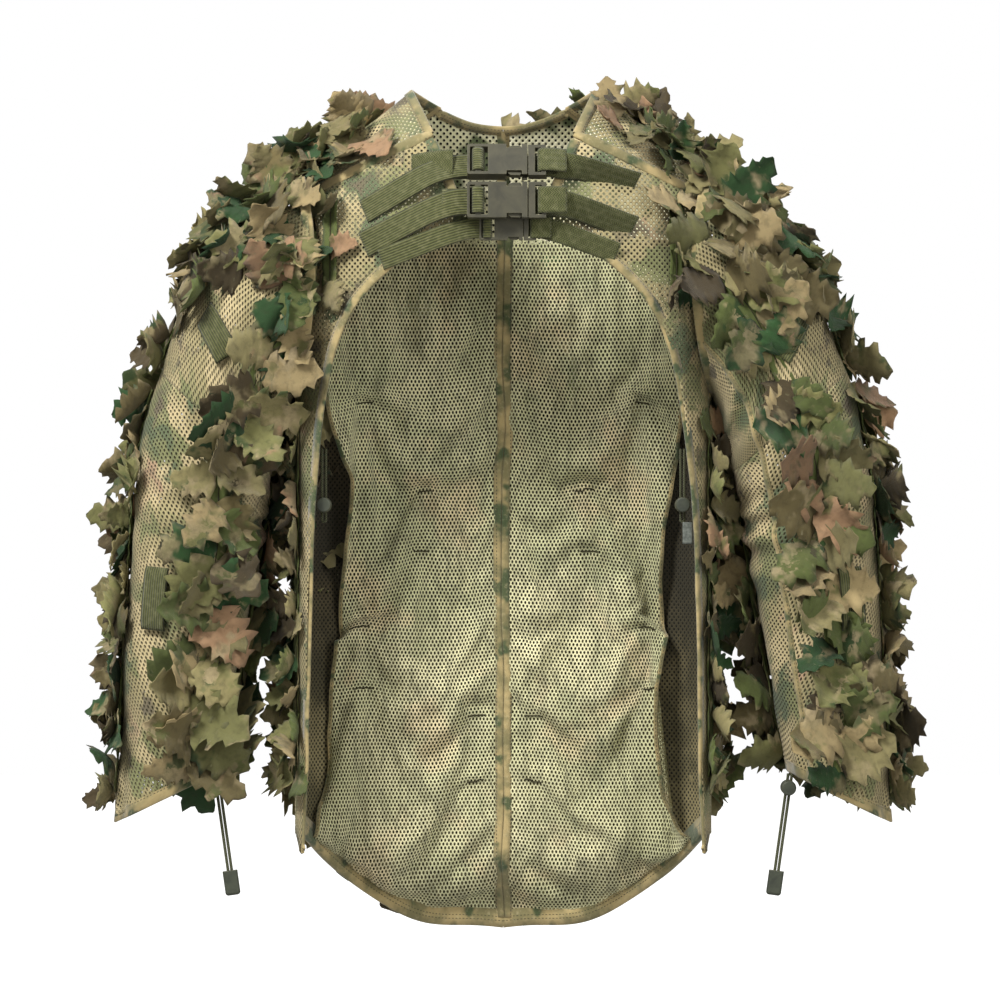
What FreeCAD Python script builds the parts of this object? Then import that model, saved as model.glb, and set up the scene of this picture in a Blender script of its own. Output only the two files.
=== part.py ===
"""Ghillie jacket: an open-fronted mesh smock with leaf strips, three chest buckles and cord-locked cuffs.

Millimetres, +Z up. The wearer faces -Y, and the wearer's left is +X. The origin is the centre of the hem
opening, level with the lowest point of the hem.
"""

import FreeCAD
import Part
import math
import os

V = FreeCAD.Vector
os.makedirs("parts", exist_ok=True)

# ---------------------------------------------------------------- driving dimensions
SHOULDER_NECK = (86.0, 787.0)      # where the shoulder line meets the neck, x and z
SHOULDER_TIP = (188.0, 714.0)      # where the shoulder line meets the armhole
HEM_SIDE_RISE = 98.0               # how far the hem climbs from the back centre to the side seam
BODY_HALF_WIDTH = 193.0            # side seam to centre
UNDERARM_Z = 508.0
SHOULDER_ROUNDING = 150.0          # height over which the shoulder turns from front to back
LINING_DEPTH = 0.75                # where the lining hangs, as a share of the back's depth
CLOTH = 1.2                        # thickness of a mesh panel
LINING_CLOTH = 0.8
SEAM_GAP = 0.6                     # space left between panels that are sewn to each other
WEB_THICK = 1.6
WEB_WIDE = 25.0
CORD_R = 1.4
BINDING_R = 2.6

# The sleeve's rings from armhole to cuff: outer point (x, z), inner point (x, z), half depth, inward curl.
SLEEVE_RINGS = [
    ((188, 714), (195, 508), 76, 16),
    ((240, 682), (202, 488), 80, 6),
    ((282, 622), (208, 466), 78, 0),
    ((316, 540), (214, 440), 72, 0),
    ((338, 462), (220, 410), 66, 0),
    ((345, 412), (225, 382), 62, 0),
    ((347, 350), (231, 336), 60, 0),
    ((352, 262), (244, 262), 56, 0),
    ((357, 180), (257, 205), 52, 0),
    ((361, 112), (266, 158), 50, 0),
]
HEAD_END, UPPER_END, ELBOW_END, CUFF = 2.0, 4.2, 5.8, 9.0   # ring numbers where sleeve sections meet
STRIP_ANGLES = (-112, -12, 42, 96)                          # where leaf strips run down a sleeve
LOOP_ANGLE = -62

# Front panel: inner edge (neck, centre tip, arch, front edge) against outer edge (armhole, side seam).
FRONT_ROWS = [
    ((187, 80), (192, 98)), ((183, 138), (193, 150)), ((181, 220), (193, 225)), ((180, 290), (193, 300)),
    ((178, 347), (193, 360)), ((176, 400), (193, 410)), ((171, 450), (193, 460)), ((166, 490), (192, 508)),
    ((160, 525), (184, 538)), ((150, 560), (177, 568)), ((133, 592), (173, 596)), ((98, 627), (171, 622)),
    ((64, 643), (172, 640)), ((32, 654), (173, 655)), ((44, 690), (175, 668)), ((57, 720), (178, 680)),
    ((66, 743), (180, 690)),
]
NECK_TIP = 13                      # number of the row at the tip where the arch and the neckline meet
BACK_YOKE_NECK = (60.0, 773.0)     # back end of the yoke seam, on the neckline
NECK_BACK_Z = 757.0                # back neckline at the centre

# Buckles: name, centre x and z, size against the 25 mm pattern, how far the face tips back (degrees), and
# how far the middle plane stands in front of the chest. The middle buckle lies over the lowest one.
BUCKLES = [("top", 0.0, 716.0, 1.0, 30.0, 13.0), ("mid", 0.0, 679.0, 1.0, 6.0, 27.2),
           ("low", 2.0, 655.0, 0.72, 0.0, 7.2)]
SOCKET_LEFT, SOCKET_FACE, SOCKET_MOUTH = -33.0, -11.0, 22.0
BUCKLE_HALF_HIGH, BUCKLE_HALF_THICK = 16.5, 5.2
LATCH_TRAVEL = 32.0
LOOP_REACH = {"top": 47.0, "mid": 47.0, "low": 43.0}    # how far each webbing loop reaches from the middle


# ---------------------------------------------------------------- curves and the body form
def table(points, t):
    """Smooth value at t of a short table of (t, value), flat past its ends."""
    if t <= points[0][0]:
        return float(points[0][1])
    for (t0, v0), (t1, v1) in zip(points, points[1:]):
        if t <= t1:
            k = (t - t0) / (t1 - t0)
            return v0 + (v1 - v0) * k
    return float(points[-1][1])


def mix(a, b, k):
    return a + (b - a) * k


def front_depth(z):
    return table([(0, 112), (300, 112), (560, 118), (650, 110), (740, 84), (800, 60)], z)


def back_depth(z):
    return table([(0, 124), (300, 120), (560, 128), (660, 118), (760, 96), (800, 84)], z)


def shoulder_z(x):
    """Height of the shoulder line above |x|, carried on past both of its ends."""
    slope = (SHOULDER_TIP[1] - SHOULDER_NECK[1]) / (SHOULDER_TIP[0] - SHOULDER_NECK[0])
    return max(SHOULDER_NECK[1] + slope * (abs(x) - SHOULDER_NECK[0]), 0) if abs(x) > SHOULDER_NECK[0] else (
        SHOULDER_NECK[1] + 0.2 * (SHOULDER_NECK[0] - abs(x)))


def form_depth(x, z, side):
    """y of the body form at (x, z); side is -1 for the front and 1 for the back."""
    across = min(1.0, abs(x) / BODY_HALF_WIDTH)
    around = (1.0 - across ** 2.6) ** 0.45
    down = max(0.0, min(1.0, (shoulder_z(x) - z) / SHOULDER_ROUNDING))
    top = math.sqrt(max(0.0, 1.0 - (1.0 - down) ** 2))
    return side * (front_depth(z) if side < 0 else back_depth(z)) * around * top


def outer_x(z):
    """x of the side seam and, above the underarm, of the armhole."""
    return table([(100, 192), (150, 193), (460, 193), (508, 192), (538, 184), (568, 177), (596, 173),
                  (622, 171), (655, 173), (690, 180)], z)


def hem_z(x):
    return HEM_SIDE_RISE * (abs(x) / BODY_HALF_WIDTH) ** 2.8


# ---------------------------------------------------------------- solids
def export(name, shapes):
    """One STEP for a node: a single solid, or a group of separate ones."""
    shapes = shapes if isinstance(shapes, list) else [shapes]
    whole = shapes[0] if len(shapes) == 1 else Part.makeCompound(shapes)
    whole.exportStep(f"parts/{name}.step")


def mirrored(shape):
    return shape.mirror(V(0, 0, 0), V(1, 0, 0))


def normals(grid):
    """Unit normals of a point grid, from its neighbours' differences."""
    rows, cols = len(grid), len(grid[0])
    out = []
    for i in range(rows):
        line = []
        for j in range(cols):
            a = grid[min(i + 1, rows - 1)][j] - grid[max(i - 1, 0)][j]
            b = grid[i][min(j + 1, cols - 1)] - grid[i][max(j - 1, 0)]
            n = a.cross(b)
            n.normalize()
            line.append(n)
        out.append(line)
    return out


def clamped_knots(count, degree):
    """Even knots and their multiplicities for a curve that starts and ends on its end poles."""
    spans = count - degree
    return [k / spans for k in range(spans + 1)], [degree + 1] + [1] * (spans - 1) + [degree + 1]


def smooth_surface(poles):
    """A surface led by a grid of poles: it can't swing past them, and it meets them along its borders."""
    du, dv = min(3, len(poles) - 1), min(3, len(poles[0]) - 1)
    uk, um = clamped_knots(len(poles), du)
    vk, vm = clamped_knots(len(poles[0]), dv)
    surface = Part.BSplineSurface()
    surface.buildFromPolesMultsKnots(poles, um, vm, uk, vk, False, False, du, dv)
    return surface


def cloth_solid(grid, thick):
    """A closed sheet of even thickness led by a grid of points."""
    ns = normals(grid)
    under, over = ([[p + n * (thick * side) for p, n in zip(*line)] for line in zip(grid, ns)]
                   for side in (-0.5, 0.5))
    rims = [[under[0], over[0]], [under[-1], over[-1]],
            [[line[0] for line in under], [line[0] for line in over]],
            [[line[-1] for line in under], [line[-1] for line in over]]]
    shell = Part.Shell([smooth_surface(poles).toShape() for poles in [under, over] + rims])
    shell.sewShape()
    solid = Part.Solid(shell)
    if solid.Volume < 0:
        solid.reverse()
    return solid


def faceted_solid(top, bottom):
    """A closed solid of flat triangles between two grids of the same size."""
    rows, cols = len(top), len(top[0])
    faces = []

    def tri(a, b, c):
        faces.append(Part.Face(Part.makePolygon([a, b, c, a])))

    def quad(a, b, c, d):
        tri(a, b, c)
        tri(a, c, d)

    for i in range(rows - 1):
        for j in range(cols - 1):
            quad(top[i][j], top[i + 1][j], top[i + 1][j + 1], top[i][j + 1])
            quad(bottom[i][j], bottom[i][j + 1], bottom[i + 1][j + 1], bottom[i + 1][j])
        for j in (0, cols - 1):
            quad(top[i][j], bottom[i][j], bottom[i + 1][j], top[i + 1][j])
    for i in (0, rows - 1):
        for j in range(cols - 1):
            quad(top[i][j], top[i][j + 1], bottom[i][j + 1], bottom[i][j])
    shell = Part.Shell(faces)
    shell.sewShape()
    solid = Part.Solid(shell)
    if solid.Volume < 0:
        solid.reverse()
    return solid


def faceted_rod(rings):
    """A closed rod of flat triangles through a row of rings that have the same number of corners."""
    faces = []

    def tri(a, b, c):
        faces.append(Part.Face(Part.makePolygon([a, b, c, a])))

    corners = len(rings[0])
    for near, far in zip(rings, rings[1:]):
        for j in range(corners):
            k = (j + 1) % corners
            tri(near[j], near[k], far[k])
            tri(near[j], far[k], far[j])
    for end in (rings[0], rings[-1]):
        for j in range(1, corners - 1):
            tri(end[0], end[j], end[j + 1])
    shell = Part.Shell(faces)
    shell.sewShape()
    solid = Part.Solid(shell)
    if solid.Volume < 0:
        solid.reverse()
    return solid


def rod(points, radius):
    """A round cord or binding through points."""
    curve = Part.BSplineCurve()
    curve.interpolate(points)
    start = curve.value(curve.FirstParameter)
    tangent = curve.tangent(curve.FirstParameter)[0]
    ring = Part.Wire([Part.makeCircle(radius, start, tangent)])
    return Part.Wire([curve.toShape()]).makePipeShell([ring], True, False)


def box(x0, x1, y0, y1, z0, z1):
    return Part.makeBox(x1 - x0, y1 - y0, z1 - z0, V(x0, y0, z0))


# ---------------------------------------------------------------- trunk panels
def front_grid():
    """Wearer's left front: side wing, arch edge and chest, up to the yoke seam."""
    columns = [math.sin(math.pi / 2 * k / 8) for k in range(9)]
    grid = []
    for (xi, zi), (xo, zo) in FRONT_ROWS:
        xo = xo - SEAM_GAP if zo <= UNDERARM_Z else xo
        grid.append([V(mix(xi, xo, u), form_depth(mix(xi, xo, u), mix(zi, zo, u), -1), mix(zi, zo, u))
                     for u in columns])
    return grid


def yoke_point(u, v):
    """Yoke over the shoulder: u from neck to armhole, v from the front seam (-1) to the back seam (1)."""
    ridge = (mix(SHOULDER_NECK[0], SHOULDER_TIP[0] - 2, u), mix(SHOULDER_NECK[1], SHOULDER_TIP[1], u))
    if v < 0:
        seam = (mix(66, 180, u), mix(743, 690, u) + 2 * SEAM_GAP)
    else:
        seam = (mix(BACK_YOKE_NECK[0], 180, u), mix(BACK_YOKE_NECK[1], 690, u) + 2 * SEAM_GAP)
    k = v * v
    x, z = mix(ridge[0], seam[0], k), mix(ridge[1], seam[1], k)
    return V(x, form_depth(x, z, -1 if v < 0 else 1), z)


def yoke_grid():
    steps = [-1 + k / 5 for k in range(11)]
    return [[yoke_point(k / 6, v) for v in steps] for k in range(7)]


def back_point(u, v):
    """Back: u from the centre seam to the side seam, v from the hem to the neckline or yoke seam."""
    if u * 180 < BACK_YOKE_NECK[0]:
        crown = mix(NECK_BACK_Z, BACK_YOKE_NECK[1], (u * 180 / BACK_YOKE_NECK[0]) ** 2)
    else:
        crown = mix(BACK_YOKE_NECK[1], 690, (u * 180 - BACK_YOKE_NECK[0]) / (180 - BACK_YOKE_NECK[0]))
    side = mix(hem_z(BODY_HALF_WIDTH), 690, v)
    x = u * (outer_x(side) - SEAM_GAP)
    z = mix(hem_z(u * BODY_HALF_WIDTH), crown, v)
    return V(x, form_depth(x, z, 1), z)


def back_grid():
    """Wearer's left back, from the hem up to the neck and the yoke seam."""
    first = SEAM_GAP / 300
    columns = [mix(first, 1, math.sin(math.pi / 2 * k / 9)) for k in range(10)]
    return [[back_point(u, k / 16) for u in columns] for k in range(17)]


def lining_edge(z):
    rows = [(72, 180), (160, 167), (241, 159), (347, 153), (420, 158), (480, 166), (560, 172), (660, 172)]
    return table(rows, z)


def lining_y(x, z):
    return LINING_DEPTH * form_depth(x, min(z, 600), 1)


def lining():
    """Wearer's left half of the net that hangs inside the back."""
    grid = []
    for k in range(15):
        line = []
        for j in range(7):
            z_side = mix(80, 610, k / 14)
            x = mix(3.5, lining_edge(z_side), j / 6)
            z = mix(hem_z(x) + 7, 655 - 45 * (x / 170) ** 2, k / 14)
            line.append(V(x, lining_y(x, z), z))
        grid.append(line)
    return cloth_solid(grid, LINING_CLOTH)


def centre_tape():
    heights = [9 + 645 * k / 12 for k in range(13)]
    rows = [[V(x, lining_y(0, z) - 1.6, z) for x in (-8, -3, 3, 8)] for z in heights]
    return cloth_solid(rows, 1.0)


def binding(grid, border, start, end, steps):
    """Folded tape just off a panel's border, from one share of the border's length to another."""
    surface = smooth_surface(grid)
    centres = []
    for k in range(steps + 1):
        t = mix(start, end, k / steps)
        u, v = {"first_column": (t, 0), "first_row": (0, t), "last_row": (1, t)}[border]
        along_u, along_v = surface.tangent(u, v)
        along, inward = (along_u, along_v) if border == "first_column" else (along_v, along_u)
        if border == "last_row":
            inward = inward * -1
        away = (inward - along * inward.dot(along)) * -1
        away.normalize()
        centres.append(surface.value(u, v) + away * (BINDING_R + CLOTH))
    return rod(centres, BINDING_R)


def edge_bindings():
    """Tape round each front edge, arch and side of the neck, and along the hem and the back of the neck."""
    front, back, yoke = front_grid(), back_grid(), yoke_grid()
    halves = [binding(front, "first_column", 0.03, 0.985, 70), binding(yoke, "first_row", 0.04, 0.96, 12),
              binding(back, "first_row", 0.02, 0.97, 16), binding(back, "last_row", 0.02, 0.15, 6)]
    return halves + [mirrored(half) for half in halves]


# ---------------------------------------------------------------- sleeves
def sleeve_ring(s):
    i = min(int(s), len(SLEEVE_RINGS) - 2)
    k = s - i
    (a, b, d, c), (e, f, g, h) = SLEEVE_RINGS[i], SLEEVE_RINGS[i + 1]
    outer = (mix(a[0], e[0], k), mix(a[1], e[1], k))
    inner = (mix(b[0], f[0], k), mix(b[1], f[1], k))
    return outer, inner, mix(d, g, k), mix(c, h, k)


def sleeve_point(s, angle, off=0.0):
    """Point on the wearer's left sleeve; angle 0 is its outer side, -90 its front and 180 its inner side."""
    outer, inner, deep, curl = sleeve_ring(s)
    cx, cz = (outer[0] + inner[0]) / 2, (outer[1] + inner[1]) / 2
    hx, hz = (outer[0] - inner[0]) / 2, (outer[1] - inner[1]) / 2
    size = math.hypot(hx, hz)
    c, sn = math.cos(math.radians(angle)), math.sin(math.radians(angle))
    grow = (size + off) / size
    return V(cx + hx * grow * c - curl * sn * sn, (deep + off) * sn, cz + hz * grow * c)


def sleeve_section(s0, s1, rows):
    """Front and back halves of a stretch of sleeve, sewn along its inner and outer lines."""
    halves = []
    for a0, a1 in ((-179, -1), (1, 179)):
        grid = []
        for i in range(rows + 1):
            s = mix(s0, s1, i / rows)
            grid.append([sleeve_point(s, mix(a0, a1, j / 12)) for j in range(13)])
        halves.append(cloth_solid(grid, CLOTH))
    return halves


def cuff_binding():
    """Folded hem with its elastic, just below the end of the sleeve, in a front and a back half."""
    drop = V(-0.2, 0, -1) * (BINDING_R + CLOTH)
    return [rod([sleeve_point(CUFF, mix(a0, a1, k / 12)) + drop for k in range(13)], BINDING_R)
            for a0, a1 in ((-178, -2), (2, 178))]


# ---------------------------------------------------------------- leaf strips
TIP_WIDE, NOTCH_WIDE = 33.0, 13.0
TIP_LIFT, NOTCH_LIFT, MID_LIFT = 19.0, 9.0, 5.0
LEAF_THICK = 1.0


def leaf_strip(place, across, count, phase=0, tip=TIP_WIDE, notch=NOTCH_WIDE, lift=TIP_LIFT):
    """A cut strip sewn down its middle. place(t, w, off): t along, w mm across, off mm out."""
    rows = 2 * count + 1
    top, bottom = [], []
    for i in range(rows):
        t = i / (rows - 1)
        wide, up = (tip, lift) if (i + phase) % 2 else (notch, NOTCH_LIFT)
        spots = [(-wide * across, up), (0, MID_LIFT), (wide * across, up)]
        bottom.append([place(t, w, off) for w, off in spots])
        top.append([place(t, w, off + LEAF_THICK) for w, off in spots])
    return faceted_solid(top, bottom)


def sleeve_strip(s0, s1, angle, count, phase, lift=TIP_LIFT):
    def place(t, w, off):
        s = mix(s0, s1, t)
        size = sleeve_ring(s)[2]
        return sleeve_point(s, angle + math.degrees(w / size), off)
    return leaf_strip(place, 1, count, phase, lift=lift)


def shoulder_strip(v, phase):
    def place(t, w, off):
        u = 0.1 + 0.78 * t
        p = yoke_point(u, v + w / 110)
        return V(p.x + off * 0.4, p.y + off * 0.6 * v, p.z + off)
    return leaf_strip(place, 1, 2, phase, tip=24, notch=10, lift=14)


def back_strip(x, z0, z1, count, phase):
    def place(t, w, off):
        z = mix(z0, z1, t)
        px = x + w
        return V(px * (1 + off / 400), form_depth(px, z, 1) + off, z)
    return leaf_strip(place, 1, count, phase, tip=24, notch=10, lift=15)


def side_strip(z0, z1, count):
    def place(t, w, off):
        z = mix(z0, z1, t)
        y = 40 + w
        x = BODY_HALF_WIDTH * (1 - (y / back_depth(z)) ** 2.2) ** (1 / 2.6)
        return V(x + off, y + off * 0.2, z)
    return leaf_strip(place, 1, count, 0, tip=22, notch=10, lift=12)


# ---------------------------------------------------------------- straps and loops
def strap(start, end, wide, stand, bow=0.0):
    """A flat strap lying over the chest from one (x, z) point to another."""
    dx, dz = end[0] - start[0], end[1] - start[1]
    size = math.hypot(dx, dz)
    nx, nz = -dz / size, dx / size
    grid = []
    for i in range(7):
        t = i / 6
        arch = bow * 4 * t * (1 - t)
        line = []
        for j in range(4):
            w = wide * (j / 3 - 0.5)
            x, z = start[0] + dx * t + nx * w, start[1] + dz * t + nz * w + arch
            cx, cz = start[0] + dx * t, start[1] + dz * t
            line.append(V(x, chest_y(cx, cz) - stand + (z - cz) * chest_slope(cx, cz), z))
        grid.append(line)
    return cloth_solid(grid, WEB_THICK)


def chest_y(x, z):
    return form_depth(max(abs(x), 34), z, -1)


def chest_slope(x, z):
    return (chest_y(x, z + 8) - chest_y(x, z - 8)) / 16


def bar_loop(x_open, x_turn, half_gap):
    """Webbing folded round a buckle's bar: open at x_open, turned at x_turn, as the buckle is drawn."""
    high = WEB_WIDE / 2
    skin = half_gap + WEB_THICK
    toward = 1 if x_turn > x_open else -1
    outer = box(min(x_open, x_turn), max(x_open, x_turn), -skin, skin, -high, high)
    inner_end = x_turn - toward * WEB_THICK
    inner = box(min(x_open - toward, inner_end), max(x_open - toward, inner_end),
                -half_gap, half_gap, -high - 1, high + 1)
    return outer.cut(inner)


def elastic_straps():
    """Wearer's right: ribbed elastic straps sewn to the chest, each looped through a buckle's frame."""
    straps = [
        strap((-128, 671), (-54, 709), WEB_WIDE, 6.5, 4),
        strap((-88, 650), (-55, 673), WEB_WIDE, 11.0, 1),
        strap((-114, 632), (-40, 654), WEB_WIDE * 0.8, 6.0, 1),
        strap((-84, 712), (-50, 716), WEB_WIDE, 12.0, 2),
    ]
    turn = SOCKET_FACE - 4.0
    return straps + [place_buckle(bar_loop(-reach, turn, BUCKLE_HALF_THICK + 0.3), name)
                     for name, reach in LOOP_REACH.items()]


def web_straps():
    """Wearer's left: plain webbing straps sewn to the chest, each looped round a latch's end bar."""
    straps = [
        strap((52, 712), (122, 697), WEB_WIDE, 6.5, 1),
        strap((53, 676), (117, 656), WEB_WIDE, 11.0, 1),
        strap((42, 652), (104, 632), WEB_WIDE * 0.8, 6.0, 1),
    ]
    turn = SOCKET_MOUTH + 8.0
    return straps + [place_buckle(bar_loop(reach, turn, 3.9), name) for name, reach in LOOP_REACH.items()]


def forearm_loop():
    """Elastic loop for foliage on the front of the forearm, its long side down the sleeve: a flat band."""
    middle = sleeve_point(6.35, LOOP_ANGLE, 3.0)
    down = sleeve_point(6.8, LOOP_ANGLE, 3.0) - sleeve_point(5.95, LOOP_ANGLE, 3.0)
    down.normalize()
    across = sleeve_point(6.35, LOOP_ANGLE + 12, 3.0) - sleeve_point(6.35, LOOP_ANGLE - 12, 3.0)
    across = across - down * across.dot(down)
    across.normalize()
    out = across.cross(down)
    if out.y > 0:
        out = out * -1
    placement = FreeCAD.Placement(FreeCAD.Matrix(across.x, out.x, down.x, middle.x,
                                                 across.y, out.y, down.y, middle.y,
                                                 across.z, out.z, down.z, middle.z, 0, 0, 0, 1))
    band = Part.makeBox(WEB_WIDE, WEB_THICK, 58, V(-WEB_WIDE / 2, 2.0, -29))
    feet = [Part.makeBox(WEB_WIDE, 2.4, 6, V(-WEB_WIDE / 2, 0.0, z)) for z in (-29, 23)]
    loop = band.fuse(feet[0]).fuse(feet[1]).removeSplitter()
    loop.Placement = placement
    return loop


def upper_arm_loop():
    """Elastic loop lying round the front of the upper arm."""
    rings, middle = (2.12, 2.26, 2.4), LOOP_ANGLE - 4
    grid = [[sleeve_point(ring, middle + a, 3.4) for ring in rings] for a in range(-16, 17, 4)]
    return cloth_solid(grid, WEB_THICK)


def back_loops():
    """Eight elastic foliage loops sewn through the back, 58 mm long."""
    loops = []
    for x, z in ((128, 531), (78, 386), (134, 257), (27, 172)):
        for side in (-1, 1):
            rows = []
            for k in range(5):
                zz = z - 29 + 58 * k / 4
                across = [side * x + w for w in (-10, 0, 10)]
                rows.append([V(xx, form_depth(xx, zz, 1) + 2.2, zz) for xx in across])
            loops.append(cloth_solid(rows, 1.2))
    return loops


# ---------------------------------------------------------------- side-release buckle
def socket():
    """Female half: strap frame, and two plates around a channel that is open at the mouth and sides."""
    h, t = BUCKLE_HALF_HIGH, BUCKLE_HALF_THICK
    body = box(SOCKET_LEFT, SOCKET_MOUTH, -t, t, -h, h)
    channel = box(SOCKET_FACE + 4, SOCKET_MOUTH + 1, -3.1, 3.1, -h + 2.6, h - 2.6)
    sides = box(2, SOCKET_MOUTH + 1, -3.1, 3.1, -h - 1, h + 1)
    strap_slots = [box(x0, x1, -t - 1, t + 1, -h + 3, h - 3) for x0, x1 in ((-30.5, -25.5), (-20.5, -14))]
    notches = [box(3, 17, -t - 1, t + 1, zc - 4, zc + 4) for zc in (-h, h)]
    for cutter in [channel, sides] + strap_slots + notches:
        body = body.cut(cutter)
    corners = [e for e in body.Edges
               if abs(e.BoundBox.XLength) < 1e-6 and abs(e.BoundBox.ZLength) < 1e-6
               and abs(e.BoundBox.XMin - SOCKET_LEFT) < 1e-6 and e.BoundBox.YLength > 5]
    return body.makeFillet(2.5, corners) if corners else body


def latch():
    """Male half without its two arms: cross bar, centre guide and strap frame."""
    h, t = BUCKLE_HALF_HIGH, BUCKLE_HALF_THICK
    frame = box(SOCKET_MOUTH + 0.8, SOCKET_MOUTH + 17, -3.6, 3.6, -h, h)
    slot = box(SOCKET_MOUTH + 7, SOCKET_MOUTH + 13, -4.6, 4.6, -h + 3, h - 3)
    guide = box(-4, SOCKET_MOUTH + 2, -2.4, 2.4, -3, 3)
    return frame.cut(slot).fuse(guide).removeSplitter()


def latch_arm(side):
    """One squeeze arm, from its root at the cross bar to the pad that fills the side window."""
    points = [(SOCKET_MOUTH + 0.2, 7.4), (8, 7.6), (4, 9.6), (4.4, 14.0), (7, 15.9), (15, 16.1),
              (16.6, 14.6), (16.8, 11.4), (SOCKET_MOUTH + 0.2, 11.0)]
    outline = [V(x, -2.6, side * z) for x, z in points]
    return Part.Face(Part.makePolygon(outline + outline[:1])).extrude(V(0, 5.2, 0))


def place_buckle(shape, name):
    """Sizes a buckle piece, tips its face and sets it before the chest."""
    _, x, z, size, tip, _ = next(b for b in BUCKLES if b[0] == name)
    placed = shape.copy()
    placed.scale(size)
    placed.rotate(V(0, 0, 0), V(1, 0, 0), -tip)
    placed.translate(V(x, buckle_y(name), z))
    return placed


def buckle_y(name):
    _, _, z, _, _, stand = next(b for b in BUCKLES if b[0] == name)
    return chest_y(40, z) - stand


# ---------------------------------------------------------------- cords and cord locks
LOCK_R, LOCK_HALF, LOCK_FLOOR = 7.0, 10.0, 1.5
PLUNGER_R, PLUNGER_CLEAR, PLUNGER_HEAD_R = 4.6, 0.08, 6.6
PLUNGER_FOOT, PLUNGER_HEAD_Z, PLUNGER_TOP = -4.0, 13.4, 16.4
PLUNGER_TRAVEL = 3.0
STRAND_GAP = 3.4                   # between the middles of two strands lying side by side
BORE_HALF_WIDE, BORE_HALF_HIGH = 3.6, 1.9
SPRING_R, SPRING_WIRE, SPRING_TURNS = 2.6, 0.3, 2.5


def cord_lock():
    """Barrel of a cord lock along +Z, open at its top, with a cross bore along X for two cord strands."""
    barrel = Part.makeCylinder(LOCK_R, 2 * LOCK_HALF, V(0, 0, -LOCK_HALF))
    barrel = barrel.makeFillet(1.6, [e for e in barrel.Edges if abs(e.BoundBox.ZMax + LOCK_HALF) < 1e-6])
    well = Part.makeCylinder(PLUNGER_R + PLUNGER_CLEAR, 2 * LOCK_HALF, V(0, 0, -LOCK_HALF + LOCK_FLOOR))
    bore = box(-LOCK_R - 1, LOCK_R + 1, -BORE_HALF_WIDE, BORE_HALF_WIDE, -BORE_HALF_HIGH, BORE_HALF_HIGH)
    return barrel.cut(well).cut(bore)


def plunger():
    """Button that slides in the barrel, crossed by the same bore and held up by the spring."""
    stem = Part.makeCylinder(PLUNGER_R, PLUNGER_HEAD_Z - PLUNGER_FOOT, V(0, 0, PLUNGER_FOOT))
    head = Part.makeCylinder(PLUNGER_HEAD_R, PLUNGER_TOP - PLUNGER_HEAD_Z, V(0, 0, PLUNGER_HEAD_Z))
    head = head.makeFillet(1.0, [e for e in head.Edges if abs(e.BoundBox.ZMin - PLUNGER_TOP) < 1e-6])
    bore = box(-LOCK_R, LOCK_R, -BORE_HALF_WIDE, BORE_HALF_WIDE,
               -BORE_HALF_HIGH, BORE_HALF_HIGH + PLUNGER_TRAVEL + 0.5)
    return stem.fuse(head).removeSplitter().cut(bore)


def lock_spring():
    """Coil between the barrel's floor and the plunger's foot."""
    floor = -LOCK_HALF + LOCK_FLOOR
    rise = PLUNGER_FOOT - floor - 4 * SPRING_WIRE
    steps = int(SPRING_TURNS * 18)
    rings = []
    for k in range(steps + 1):
        turn = 2 * math.pi * SPRING_TURNS * k / steps
        out = V(math.cos(turn), math.sin(turn), 0)
        centre = out * SPRING_R + V(0, 0, floor + 2 * SPRING_WIRE + rise * k / steps)
        spokes = [math.radians(60 * j) for j in range(6)]
        rings.append([centre + out * (SPRING_WIRE * math.cos(a)) + V(0, 0, SPRING_WIRE * math.sin(a))
                      for a in spokes])
    return faceted_rod(rings)


def set_lock(shape, at, axis, strand):
    """Stands a lock piece at a point, its barrel along axis and its strands along strand."""
    axis, strand = V(*axis), V(*strand)
    axis.normalize()
    side = axis.cross(strand)
    side.normalize()
    strand = side.cross(axis)
    placed = shape.copy()
    stand = FreeCAD.Placement(FreeCAD.Matrix(strand.x, side.x, axis.x, at[0],
                                             strand.y, side.y, axis.y, at[1],
                                             strand.z, side.z, axis.z, at[2], 0, 0, 0, 1))
    placed.Placement = stand.multiply(placed.Placement)
    return placed


WAIST_LOCK = (166.0, -34.0, 402.0)
WAIST_LOOP_UP, WAIST_LOOP_DOWN = 52.0, 14.0
TAG = (165.5, 174.5, 366.0, 386.0)     # blank cloth tag behind the wearer's left front edge: x and z limits
CUFF_TOP = (266.0, -30.0, 150.0)       # where the cuff cord leaves the hem, and the hinge it swings on
CORD_LEAN = 0.14                       # the cuff cord leans in this much for each unit down
CORD_START = 3.0                       # the cord starts this far above the hinge, inside the hem
LOCK_DROP = 13.0                       # from the cord's start down to the middle of the cuff lock
CUFF_LOCK = (CUFF_TOP[0] - CORD_LEAN * LOCK_DROP, CUFF_TOP[1], CUFF_TOP[2] + CORD_START - LOCK_DROP)
CORD_LONG = 92.0
CORD_END_LONG = 23.0


def waist_cord():
    """A thin draw cord's two strands, down through the waist lock and back up: turned at the foot."""
    x, y, z = WAIST_LOCK
    half = STRAND_GAP / 2
    straight = [rod([V(x + side * half, y, z + WAIST_LOOP_UP), V(x + side * half, y, z),
                     V(x + side * half, y, z - WAIST_LOOP_DOWN)], CORD_R - 0.2) for side in (-1, 1)]
    turn = Part.makeTorus(half, CORD_R - 0.2, V(x, y, z - WAIST_LOOP_DOWN), V(0, 1, 0))
    lower = box(x - 9, x + 9, y - 9, y + 9, z - WAIST_LOOP_DOWN - 9, z - WAIST_LOOP_DOWN)
    return straight[0].fuse(straight[1]).fuse(turn.common(lower)).removeSplitter()


def waist_tag():
    return box(TAG[0], TAG[1], -52.6, -51.8, TAG[2], TAG[3])


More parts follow.
